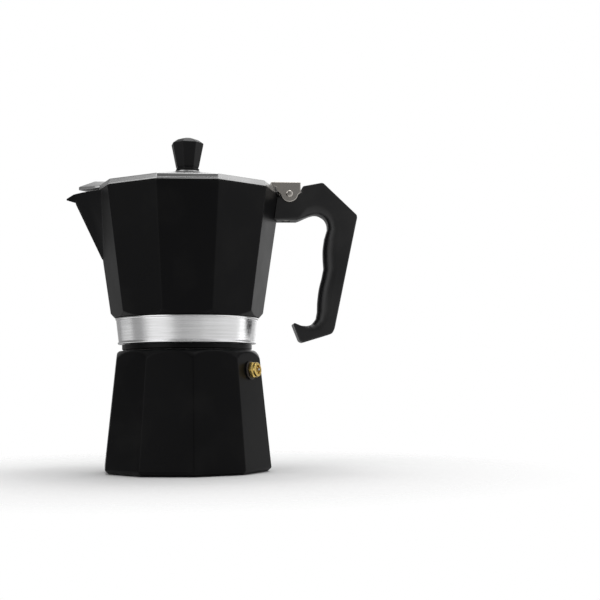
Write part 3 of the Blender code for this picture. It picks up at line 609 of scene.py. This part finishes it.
def build_column(bare):
    foot = CHAMBER_FLOOR + GAP
    profile = [(0.0034, 0.1470), (0.0034, 0.0946), (0.0053, 0.0946), (0.0053, foot), (0.0082, foot),
               (0.0082, foot + 0.0012), (0.0064, foot + 0.0032), (0.0052, 0.1430), (0.0057, 0.1440),
               (0.0057, 0.1485), (0.0046, 0.1502), (0.0020, 0.1510)]
    column = new_object("coffee_column_tube", turned(rounded(profile, 0.0006), 64))
    combine(column, rod(0.0020, (0, -0.01, 0.1446), (0, 0.01, 0.1446)), "DIFFERENCE")
    place(column, bare, "top", "coffee_column", "bare_aluminium")


# ---------------------------------------------------------------- handle and hinge

HANDLE_HALF_WIDTH = 0.0070
PRONG_INSIDE = 0.0040
PRONG_KNUCKLE = 0.0049
LEAF_INSIDE = 0.0073
LEAF_OUTSIDE = 0.0082
LEAF_TOP = 0.1780
RIVET_X = 0.0556
EDGE_DEPTH = 0.65               # depth across the handle of an edge rounding, per unit of its reach
GRIP_BLEND = 1                  # rounds of smoothing of the edge rounding along the outline
RIVET_SIDES = {"near": -0.0045, "far": 0.0045}


def handle_outline():
    """The handle's side outline as (x, z, edge rounding, corner rounding), widest edges round the grip."""
    arm = [(0.0530, 0.1545), (0.0640, 0.1545)]
    web = curve_through([(0.0675, 0.1545), (0.0691, 0.1548), (0.0790, 0.1583), (0.0846, 0.1566),
                         (0.0871, 0.1532), (0.0876, 0.1494)], 6)
    upper_grip = curve_through([(0.0856, 0.1430), (0.0847, 0.1368), (0.0846, 0.1310), (0.0850, 0.1244)], 5)
    lower_grip = curve_through([(0.0837, 0.1182), (0.0821, 0.1120), (0.0810, 0.1040), (0.0807, 0.0970)], 5)
    hook = curve_through([(0.0799, 0.0928), (0.0771, 0.0896), (0.0735, 0.0884), (0.0700, 0.0886)], 5)
    tip = [(0.0659, 0.0903), (0.0651, 0.0894)]
    foot = [(0.0691, 0.0791), (0.0711, 0.0781), (0.0892, 0.0835), (0.0908, 0.0862)]
    back = [(0.1058, 0.1564), (0.1055, 0.1580), (0.0843, 0.1782), (0.0720, 0.1758), (0.0712, 0.1748),
            (0.0712, 0.1722), (0.0702, 0.1712)]
    knuckle = arc((PIN.x, PIN.z), PRONG_KNUCKLE, 8, 180, 24)
    end = [(PIN.x - PRONG_KNUCKLE, 0.1684), (0.0530, 0.1684)]
    parts = [(arm, 0.0012, 0.0), (web[:9], 0.0018, 0.0), (web[9:], 0.0058, 0.0),
             (upper_grip + lower_grip, 0.0082, 0.0), (hook[:6], 0.0066, 0.0), (hook[6:-5], 0.0040, 0.0),
             (hook[-5:], 0.0012, 0.0), (tip, 0.0005, 0.0005), (foot + back, 0.0010, 0.0012),
             (knuckle + end, 0.0003, 0.0)]
    return [(x, z, edge, corner) for points, edge, corner in parts for x, z in points]


def inset(outline, distances):
    """The closed outline with each point moved into the shape by its own distance."""
    result = []
    for i, here in enumerate(outline):
        here = Vector(here)
        along = (here - Vector(outline[i - 1])).normalized()
        onward = (Vector(outline[(i + 1) % len(outline)]) - here).normalized()
        inward = Vector((-along.y - onward.y, along.x + onward.x)) / max(0.6, 1 + along.dot(onward))
        result.append(tuple(here + inward * distances[i]))
    return result


def rounded_prism(outline, half_width, steps):
    """An outline of (x, z, edge rounding, corner rounding) points, given width along Y."""
    points = [(x, z) for x, z, _, _ in outline]
    edges = [edge for _, _, edge, _ in outline]
    for _ in range(GRIP_BLEND):
        edges = [(edges[i - 1] + edge + edges[(i + 1) % len(edges)]) / 3 for i, edge in enumerate(edges)]
    rings = []
    for side in (-1, 1):
        turns = [math.pi / 2 * step / steps for step in range(steps + 1)]
        for turn in turns if side < 0 else reversed(turns):
            level = inset(points, [edge * (1 - math.sin(turn)) for edge in edges])
            ring = []
            for i, (here, edge, (_, _, _, corner)) in enumerate(zip(level, edges, outline)):
                after = level[(i + 1) % len(level)]
                curve = soft_corner(level[i - 1], here, after, corner, 4) if corner else [here]
                y = side * (half_width - EDGE_DEPTH * edge * (1 - math.cos(turn)))
                ring += [(x, y, z) for x, z in curve]
            rings.append(ring)
    return skin(rings)


def build_handle(bakelite, steel):
    handle = new_object("handle_grip", rounded_prism(handle_outline(), HANDLE_HALF_WIDTH, 6))
    angles = facet_angles(CHAMBER_RADIUS, EDGE_ROUND)
    clear = [polar_ring(angles, lambda a, z: chamber_facet(a, z) + GAP, lambda a, up=height: up)
             for height in (0.1450, 0.1760)]
    combine(handle, skin(clear), "DIFFERENCE")
    slot = [(0.0500, 0.1580), (0.0680, 0.1580), (0.0680, 0.1800), (0.0500, 0.1800)]
    combine(handle, prism(slot, PRONG_INSIDE), "DIFFERENCE")
    combine(handle, pin_hole(), "DIFFERENCE")
    to_screw = Matrix.Translation((HANDLE_SCREW_X, 0, 0))
    way = turned([(0.0018, 0.1600), (0.0018, 0.1567), (0.0029, 0.1567), (0.0029, 0.1500)], 48)
    combine(handle, moved(way, to_screw), "DIFFERENCE")
    place(handle, bakelite, "top", "handle", "bakelite")
    profile = [(0.0006, 0.1548), (0.0022, 0.1548), (0.0026, 0.1552), (0.0026, 0.1564), (0.0015, 0.1564),
               (0.0015, 0.1650), (0.0009, 0.1657)]
    screw = new_object("handle_screw_turned", moved(turned(rounded(profile, 0.0003), 40), to_screw))
    cut_cross(screw, Vector((HANDLE_SCREW_X, 0, 0.1548)), 0.0016, 0.0007)
    place(screw, steel, "top", "handle_screw", "hinge_steel")


def cut_cross(screw, face, reach, depth):
    """Cuts a cross recess into a screw's head, which faces down."""
    for along_x in (True, False):
        x, y = (reach, reach * 0.24) if along_x else (reach * 0.24, reach)
        low, high = face.z - 0.001, face.z + depth
        corners = [(face.x + sx * x * k, face.y + sy * y * k, z)
                   for sx in (-1, 1) for sy in (-1, 1) for z, k in ((low, 1.0), (high, 0.75))]
        combine(screw, hull(corners), "DIFFERENCE")


def build_hinge(steel):
    head = [(0.0005, LEAF_OUTSIDE + 0.0011), (0.0015, LEAF_OUTSIDE + 0.0010),
            (0.0021, LEAF_OUTSIDE + 0.0006), (0.0021, LEAF_OUTSIDE + GAP), (0.0014, LEAF_OUTSIDE + GAP)]
    profile = rounded(head + [(radius, -height) for radius, height in reversed(head)], 0.0002)
    lay = Matrix.Translation(PIN) @ Matrix.Rotation(math.radians(90), 4, "X")
    pin = new_object("hinge_pin_turned", moved(turned(profile, 48), lay))
    place(pin, steel, "top", "hinge_pin", "hinge_steel")

    cheek = [(0.0516, LEAF_TOP), (0.0516, 0.1753), (0.0549, 0.1746), (0.0553, 0.1722), (0.0567, 0.1712)]
    cheek += arc((PIN.x, 0.1711), 0.0056, 186, 350, 28)
    cheek += [(0.0702, 0.1712), (0.0702, LEAF_TOP)]
    leaf = bevelled(prism(cheek, LEAF_OUTSIDE), 0.00055, 3, 40)
    leaf.name = "hinge_leaf_channel"
    bridge_end, under = 0.0610, LEAF_TOP - 0.0009
    between = rounded([(0.0500, 0.1600), (0.0720, 0.1600), (0.0720, 0.1800), (bridge_end, 0.1800),
                       (bridge_end, under), (0.0500, under)], 0.0005, 4, closed=True)
    combine(leaf, prism(between, LEAF_INSIDE), "DIFFERENCE")
    combine(leaf, pin_hole(), "DIFFERENCE")
    for side, y in RIVET_SIDES.items():
        combine(leaf, rivet_hole(y), "DIFFERENCE")
        head = rounded([(0.0002, 0.1731), (0.0012, 0.1731), (0.0012, LEAF_TOP - 0.00025),
                        (0.0009, LEAF_TOP - 0.00005), (0.0002, LEAF_TOP)], 0.0002)
        rivet = new_object(f"rivet_{side}", moved(turned(head, 32), Matrix.Translation((RIVET_X, y, 0))))
        place(rivet, steel, "lid", f"lid_rivet_{side}", "hinge_steel")
    place(leaf, steel, "lid", "lid_hinge_leaf", "hinge_steel")


def rivet_hole(y):
    return rod(0.0015, (RIVET_X, y, 0.1727), (RIVET_X, y, 0.1800))


# ---------------------------------------------------------------- lid and knob

LID_LIP_RADIUS = 0.0576
LID_LIP = (0.1706, 0.1717)
LID_EDGE = (0.0568, 0.1741)
BOSS_RADIUS = 0.0084
LID_SHEET = 0.0016
SCREW_BORE = 0.0022


def build_lid(bare):
    low, high = LID_LIP
    edge, edge_height = LID_EDGE
    boss = LID_BOSS
    skirt = chamber_radius(CHAMBER_RIM) - CHAMBER_WALL - 0.0006
    fillet = 0.0012
    angles = facet_angles(LID_LIP_RADIUS, fillet)

    def ring(radius, height, soft=fillet):
        return polar_ring(angles, lambda a, z: facet_radius(a, radius, min(soft, radius * 0.4)),
                          lambda a: height)

    top = rounded([(BOSS_RADIUS + 0.0014, boss - 0.0012), (edge, edge_height), (edge + 0.0004, high),
                   (LID_LIP_RADIUS, high), (LID_LIP_RADIUS, low), (skirt, low), (skirt, low - 0.0016),
                   (skirt - LID_SHEET, low - 0.0016), (skirt - LID_SHEET, edge_height - 0.0022),
                   (BOSS_RADIUS + 0.0020, boss - 0.0028)], 0.0005, 3)
    rings = [circle(angles, SCREW_BORE, boss), circle(angles, BOSS_RADIUS - 0.0004, boss),
             circle(angles, BOSS_RADIUS - 0.0001, boss - 0.0002), circle(angles, BOSS_RADIUS, boss - 0.0006)]
    rings += [ring(radius, height) for radius, height in top]
    rings += [circle(angles, BOSS_RADIUS, boss - 0.0032), circle(angles, SCREW_BORE, boss - 0.0032)]
    lid = new_object("lid_plate", skin(rings, closed=True))
    beak = [(-0.0669, 0.0, 0.1749), (-0.0669, 0.0, 0.1728), (-0.0572, 0.0, 0.1785), (-0.0440, 0.0, 0.1785)]
    beak += mirrored([(-0.0570, 0.0094, 0.1723), (-0.0566, 0.0098, 0.1738), (-0.0500, 0.0128, 0.1726),
                      (-0.0470, 0.0100, 0.1755)])
    combine(lid, bevelled(hull(beak), 0.0004, 2), "UNION")
    tab = [(0.0480, 0.1730), (0.0540, 0.1720), (0.0577, 0.1720), (0.0577, 0.1768), (0.0480, 0.1768)]
    combine(lid, bevelled(prism(tab, HANDLE_HALF_WIDTH - 0.0002), 0.0003, 2), "UNION")
    for y in RIVET_SIDES.values():
        combine(lid, rivet_hole(y), "DIFFERENCE")
    place(lid, bare, "lid", "lid", "lid_aluminium")


def build_knob(bakelite, steel):
    foot, waist, wide, wide_height, bore = KNOB_LOW.z, 0.0074, 0.0104, 0.2028, SCREW_BORE
    sides, fillet = 8, 0.0007
    corner = math.radians(30)
    angles = facet_angles(wide, fillet, corner, sides, 6)

    def octagon(radius, height):
        edge = min(fillet, radius * 0.3)
        return polar_ring(angles, lambda a, z: facet_radius(a, radius, edge, corner, sides),
                          lambda a: height)

    profile = rounded([(bore, foot), (waist, foot), (waist + 0.0003, foot + 0.0012),
                       (waist - 0.0006, foot + 0.0016), (waist, foot + 0.0026), (wide, wide_height - 0.0003),
                       (wide - 0.0035, wide_height + 0.0021), (0.0030, KNOB_TOP), (0.0008, KNOB_TOP)],
                       0.0006, 3)
    rings = [circle(angles, bore * 0.9, wide_height - 0.0060), circle(angles, bore, wide_height - 0.0062)]
    rings += [octagon(radius, height) for radius, height in profile]
    knob = new_object("knob_octagon", skin(rings), 25)
    place(knob, bakelite, "lid", "knob", "bakelite")
    under = LID_BOSS - 0.0032
    profile = [(0.0006, under - 0.0022), (0.0030, under - 0.0022), (0.0038, under - 0.0014),
               (0.0038, under - GAP), (0.0019, under - GAP), (0.0019, wide_height - 0.0080),
               (0.0012, wide_height - 0.0070)]
    screw = new_object("knob_screw_turned", turned(rounded(profile, 0.0003), 48))
    cut_cross(screw, Vector((0, 0, under - 0.0022)), 0.0024, 0.0010)
    place(screw, steel, "lid", "knob_screw", "hinge_steel")


# ---------------------------------------------------------------- finishes

def rgb(*values):
    return (*values, 1.0)


BARE_FLOOR_RADIUS = 0.0395      # floors nearer the axis than this are unpainted


class Finish:
    """A Principled material with fine relief, uneven gloss and faint wear, all from procedural nodes."""

    def __init__(self, name, **constants):
        self.material = bpy.data.materials.new(name)
        self.material.use_nodes = True
        self.tree = self.material.node_tree
        self.shader = self.tree.nodes["Principled BSDF"]
        for socket, value in constants.items():
            self.shader.inputs[socket.replace("_", " ")].default_value = value
        self.place = self.tree.nodes.new("ShaderNodeTexCoord").outputs["Object"]
        self.relief = None

    def node(self, kind, values=None, links=None, **settings):
        made = self.tree.nodes.new("ShaderNode" + kind)
        for key, value in settings.items():
            setattr(made, key, value)
        for socket, value in (values or {}).items():
            made.inputs[socket].default_value = value
        for socket, source in (links or {}).items():
            self.tree.links.new(source, made.inputs[socket])
        return made

    def noise(self, scale, detail=3.0, stretch=(1.0, 1.0, 1.0)):
        stretched = self.node("Mapping", {"Scale": stretch}, {"Vector": self.place})
        made = self.node("TexNoise", {"Scale": scale, "Detail": detail},
                         {"Vector": stretched.outputs["Vector"]})
        return made.outputs["Fac"]

    def spread(self, source, low, high, to_low, to_high):
        """Maps a texture's values onto a range, held at both ends."""
        ends = {"From Min": low, "From Max": high, "To Min": to_low, "To Max": to_high}
        made = self.node("MapRange", ends, {"Value": source})
        return made.outputs["Result"]

    def mix(self, amount, one, two):
        made = self.node("Mix", data_type="RGBA")
        for index, value in ((0, amount), (6, one), (7, two)):
            if isinstance(value, tuple):
                made.inputs[index].default_value = value
            else:
                self.tree.links.new(value, made.inputs[index])
        return made.outputs[2]

    def colour(self, source):
        self.tree.links.new(source, self.shader.inputs["Base Color"])

    def two_tone(self, source, low, high, one, two):
        """Base colour from one tone to another as a texture goes from low to high."""
        self.colour(self.mix(self.spread(source, low, high, 0.0, 1.0), one, two))

    def gloss(self, source, smooth, rough, low=0.3, high=0.7):
        self.tree.links.new(self.spread(source, low, high, smooth, rough), self.shader.inputs["Roughness"])

    def bump(self, source, height, strength=1.0):
        links = {"Height": source}
        if self.relief is not None:
            links["Normal"] = self.relief
        made = self.node("Bump", {"Strength": strength, "Distance": height}, links)
        self.relief = made.outputs["Normal"]
        self.tree.links.new(self.relief, self.shader.inputs["Normal"])

    def inside(self):
        """1 on walls that face the pot's axis and on floors near it, 0 on the outside."""
        normal = self.node("TexCoord").outputs["Normal"]
        across = self.node("VectorMath", {1: (1.0, 1.0, 0.0)}, {0: self.place},
                           operation="MULTIPLY").outputs[0]
        facing = self.node("VectorMath", links={0: across, 1: normal},
                           operation="DOT_PRODUCT").outputs["Value"]
        radius = self.node("VectorMath", links={0: across}, operation="LENGTH").outputs["Value"]
        upward = self.node("SeparateXYZ", links={0: normal}).outputs["Z"]
        near = self.spread(radius, BARE_FLOOR_RADIUS, BARE_FLOOR_RADIUS + 0.0005, 1.0, 0.0)
        floor = self.node("Math", links={0: self.spread(upward, 0.6, 0.8, 0.0, 1.0), 1: near},
                          operation="MULTIPLY")
        wall = self.spread(facing, -0.003, -0.001, 1.0, 0.0)
        return self.node("Math", links={0: floor.outputs[0], 1: wall}, operation="MAXIMUM").outputs[0]

    def turning_lines(self, per_metre, distortion=0.0):
        """Fine rings round Z, as a lathe tool leaves them."""
        made = self.node("TexWave", {"Scale": per_metre, "Distortion": distortion, "Detail": 2.0},
                         {"Vector": self.place}, bands_direction="Z")
        return made.outputs["Fac"]


def black_paint():
    """Satin black on the outside of the casting, whose inside is left bare."""
    made = Finish("black_paint", Specular_IOR_Level=0.09)
    fleck = made.noise(620.0, 2.0)
    wear = made.noise(38.0, 5.0)
    worn = made.spread(wear, 0.5, 0.9, 0.0, 1.0)
    coat = made.mix(worn, rgb(0.0035, 0.0035, 0.0039), rgb(0.0080, 0.0078, 0.0077))
    casting = made.mix(worn, rgb(0.62, 0.62, 0.62), rgb(0.50, 0.49, 0.48))
    bare = made.inside()
    made.colour(made.mix(bare, coat, casting))
    made.tree.links.new(bare, made.shader.inputs["Metallic"])
    made.gloss(wear, 0.27, 0.37)
    made.bump(fleck, 0.00003, 0.5)
    made.bump(made.noise(2600.0, 1.0), 0.000006, 0.35)
    return made.material


def turned_aluminium():
    made = Finish("turned_aluminium", Metallic=1.0)
    streak = made.noise(30.0, 3.0, (1.0, 1.0, 40.0))
    made.two_tone(streak, 0.35, 0.75, rgb(0.80, 0.80, 0.81), rgb(0.70, 0.70, 0.70))
    made.gloss(streak, 0.17, 0.27)
    made.bump(made.turning_lines(1100.0, 0.4), 0.000012, 0.5)
    made.bump(made.noise(160.0, 4.0, (1.0, 1.0, 24.0)), 0.00002, 0.35)
    return made.material


def cast_aluminium():
    made = Finish("polished_cast_aluminium", Metallic=1.0)
    cloud = made.noise(60.0, 5.0)
    made.two_tone(cloud, 0.3, 0.7, rgb(0.55, 0.55, 0.55), rgb(0.48, 0.48, 0.48))
    made.gloss(cloud, 0.20, 0.33)
    made.bump(made.noise(420.0, 3.0), 0.00004, 0.35)
    made.bump(made.noise(1900.0, 2.0, (1.0, 0.2, 1.0)), 0.000008, 0.3)
    return made.material


def drawn_steel():
    made = Finish("nickelled_steel", Metallic=1.0)
    cloud = made.noise(90.0, 4.0)
    made.two_tone(cloud, 0.3, 0.7, rgb(0.60, 0.57, 0.53), rgb(0.50, 0.47, 0.43))
    made.gloss(cloud, 0.20, 0.32)
    made.bump(made.noise(700.0, 2.0, (0.25, 1.0, 1.0)), 0.00001, 0.4)
    return made.material


def yellow_brass():
    made = Finish("valve_brass", Metallic=1.0)
    cloud = made.noise(320.0, 4.0)
    made.two_tone(cloud, 0.3, 0.75, rgb(0.82, 0.60, 0.20), rgb(0.62, 0.43, 0.12))
    made.gloss(cloud, 0.20, 0.34)
    made.bump(made.noise(1500.0, 2.0), 0.00001, 0.4)
    return made.material


def moulded_bakelite(name, shine):
    made = Finish(name, Specular_IOR_Level=shine)
    swirl = made.noise(55.0, 4.0)
    made.two_tone(swirl, 0.4, 0.8, rgb(0.0075, 0.0075, 0.0081), rgb(0.0125, 0.0123, 0.0122))
    made.gloss(swirl, 0.30, 0.42)
    made.bump(made.noise(900.0, 2.0), 0.00001, 0.4)
    made.bump(made.noise(130.0, 2.0), 0.00004, 0.25)
    return made.material


def silicone():
    made = Finish("silicone", Subsurface_Weight=0.1, Subsurface_Scale=0.001)
    cloud = made.noise(150.0, 3.0)
    made.colour(made.mix(cloud, rgb(0.72, 0.70, 0.65), rgb(0.62, 0.60, 0.54)))
    made.gloss(cloud, 0.48, 0.62)
    made.bump(made.noise(1300.0, 2.0), 0.00002, 0.4)
    return made.material


def dark_fibre():
    made = Finish("valve_fibre")
    cloud = made.noise(900.0, 3.0)
    made.colour(made.mix(cloud, rgb(0.020, 0.016, 0.014), rgb(0.045, 0.035, 0.028)))
    made.gloss(cloud, 0.55, 0.75)
    made.bump(made.noise(2500.0, 3.0), 0.00003, 0.5)
    return made.material


# ---------------------------------------------------------------- studio

def build_world():
    """White to the camera; for reflections, a soft room of pale and dark panels, in two rings."""
    world = bpy.data.worlds.new("studio")
    bpy.context.scene.world = world
    world.use_nodes = True
    tree = world.node_tree
    tree.nodes.clear()

    def node(kind, links=None, **settings):
        made = tree.nodes.new("ShaderNode" + kind)
        for key, value in settings.items():
            setattr(made, key, value)
        for socket, source in (links or {}).items():
            if isinstance(source, bpy.types.NodeSocket):
                tree.links.new(source, made.inputs[socket])
            else:
                made.inputs[socket].default_value = source
        return made

    direction = node("SeparateXYZ", {0: node("TexCoord").outputs["Generated"]})
    front = node("Math", {0: direction.outputs["Y"], 1: -1.0}, operation="MULTIPLY")
    turn = node("Math", {0: direction.outputs["X"], 1: front.outputs[0]}, operation="ARCTAN2")
    around = node("MapRange", {"Value": turn.outputs[0], "From Min": -math.pi, "From Max": math.pi})

    def panels(levels):
        made = node("ValToRGB", {"Fac": around.outputs["Result"]})
        elements = made.color_ramp.elements
        elements.remove(elements[1])
        for index, (degrees, level) in enumerate(levels):
            stop = elements[0] if index == 0 else elements.new(degrees / 360 + 0.5)
            stop.position = degrees / 360 + 0.5
            stop.color = (level, level, level, 1.0)
        return made.outputs["Color"]

    def climb(low, high):
        made = node("MapRange", {"Value": direction.outputs["Z"], "From Min": low, "From Max": high})
        return made.outputs["Result"]

    walls = node("Mix", {0: climb(*WALL_CHANGE), 6: panels(LOW_PANELS), 7: panels(HIGH_PANELS)},
                 data_type="RGBA")
    room = node("Mix", {0: climb(*CEILING_START), 6: walls.outputs[2], 7: rgb(CEILING, CEILING, CEILING)},
                data_type="RGBA")
    lit = node("Background", {"Color": room.outputs[2]})
    white = node("Background", {"Color": rgb(1.0, 1.0, 1.0)})
    seen = node("LightPath").outputs["Is Camera Ray"]
    surface = node("MixShader", {0: seen, 1: lit.outputs[0], 2: white.outputs[0]})
    node("OutputWorld", {"Surface": surface.outputs[0]})


# The room's brightness round the pot: degrees from the front, positive towards the handle
LOW_PANELS = ((-180, 0.30), (-142, 0.36), (-134, 1.00), (-106, 1.00), (-98, 0.42), (-74, 0.42), (-62, 0.92),
              (-28, 0.92), (-16, 0.55), (0, 0.55), (8, 0.62), (22, 0.62), (28, 0.80), (92, 0.80),
              (100, 1.80), (113, 1.80), (117, 1.00), (130, 1.00), (136, 0.70), (150, 0.36), (180, 0.30))
HIGH_PANELS = ((-180, 0.95), (-165, 0.40), (-120, 0.16), (-80, 0.16), (-72, 1.40), (-36, 1.40), (-25, 0.14),
               (-5, 0.14), (15, 0.30), (45, 0.45), (62, 1.10), (94, 1.10), (110, 0.50), (140, 0.60),
               (155, 1.25), (172, 1.25), (180, 0.95))
# Sines of elevation over which the low panels give way to the high ones, and those to the ceiling
WALL_CHANGE = (-0.10, 0.02)
CEILING_START = (0.60, 0.85)
CEILING = 0.6
OVERHEAD_PLACE, OVERHEAD_SIZE, OVERHEAD_POWER = (0.10, 0.15, 1.10), (0.9, 0.7), 5.0
FLOOR_RADIUS = 0.24


def area_light(name, place, target, size, power):
    data = bpy.data.lights.new(name, "AREA")
    data.shape = "RECTANGLE"
    data.size, data.size_y = size
    data.energy = power
    lamp = bpy.data.objects.new(name, data)
    bpy.context.collection.objects.link(lamp)
    lamp.location = place
    lamp.rotation_euler = (Vector(target) - Vector(place)).to_track_quat("-Z", "Y").to_euler()
    lamp.visible_camera = False
    return lamp


def build_lights():
    area_light("overhead", OVERHEAD_PLACE, (0, 0, 0.1), OVERHEAD_SIZE, OVERHEAD_POWER)


def build_floor():
    """A pale tabletop disc that fades out before its edge."""
    shape = bmesh.new()
    bmesh.ops.create_circle(shape, cap_ends=True, segments=128, radius=FLOOR_RADIUS)
    floor = new_object("tabletop", shape)
    floor.location.z = -0.0002
    made = Finish("pale_tabletop", Base_Color=rgb(0.93, 0.93, 0.93), Specular_IOR_Level=0.0)
    made.gloss(made.noise(20.0, 3.0), 0.55, 0.65)
    made.bump(made.noise(900.0, 2.0), 0.00002, 0.2)
    middle = made.node("VectorMath", links={0: made.place}, operation="LENGTH")
    fade = made.spread(middle.outputs["Value"], FLOOR_RADIUS * 0.40, FLOOR_RADIUS * 0.98, 1.0, 0.0)
    clear = made.node("BsdfTransparent")
    output = made.tree.nodes["Material Output"]
    mixed = made.node("MixShader", links={0: fade, 1: clear.outputs[0], 2: made.shader.outputs[0]})
    made.tree.links.new(mixed.outputs[0], output.inputs["Surface"])
    floor.data.materials.append(made.material)


CAMERA_PLACE = (0.0, -0.700, 0.050)
CAMERA_UP = math.radians(4.466)
CAMERA_RIGHT = math.radians(5.715)
CAMERA_ROLL = math.radians(-0.40)
CAMERA_LENS = 67.74


def build_camera():
    data = bpy.data.cameras.new("camera")
    data.sensor_width = 36.0
    data.lens = CAMERA_LENS
    data.clip_start, data.clip_end = 0.01, 20.0
    camera = bpy.data.objects.new("camera", data)
    bpy.context.collection.objects.link(camera)
    camera.location = CAMERA_PLACE
    aim = Euler((math.radians(90) + CAMERA_UP, 0.0, -CAMERA_RIGHT)).to_matrix()
    camera.rotation_euler = (aim @ Matrix.Rotation(CAMERA_ROLL, 3, "Z")).to_euler()
    scene = bpy.context.scene
    scene.camera = camera
    scene.view_settings.view_transform = "Standard"
    scene.view_settings.look = "None"


# ---------------------------------------------------------------- the pot

paint = black_paint()
bare = turned_aluminium()
lid_bare = cast_aluminium()
steel = drawn_steel()
brass = yellow_brass()
bakelite = moulded_bakelite("bakelite", 0.5)
knob_bakelite = moulded_bakelite("knob_bakelite", 0.15)

build_boiler(paint)
build_valve(brass, steel, dark_fibre())
build_collar(bare)
build_inside(bare, steel, silicone())
build_chamber(paint)
build_column(bare)
build_handle(bakelite, steel)
build_hinge(steel)
build_lid(lid_bare)
build_knob(knob_bakelite, steel)

build_world()
build_lights()
build_floor()
build_camera()

bpy.context.view_layer.update()
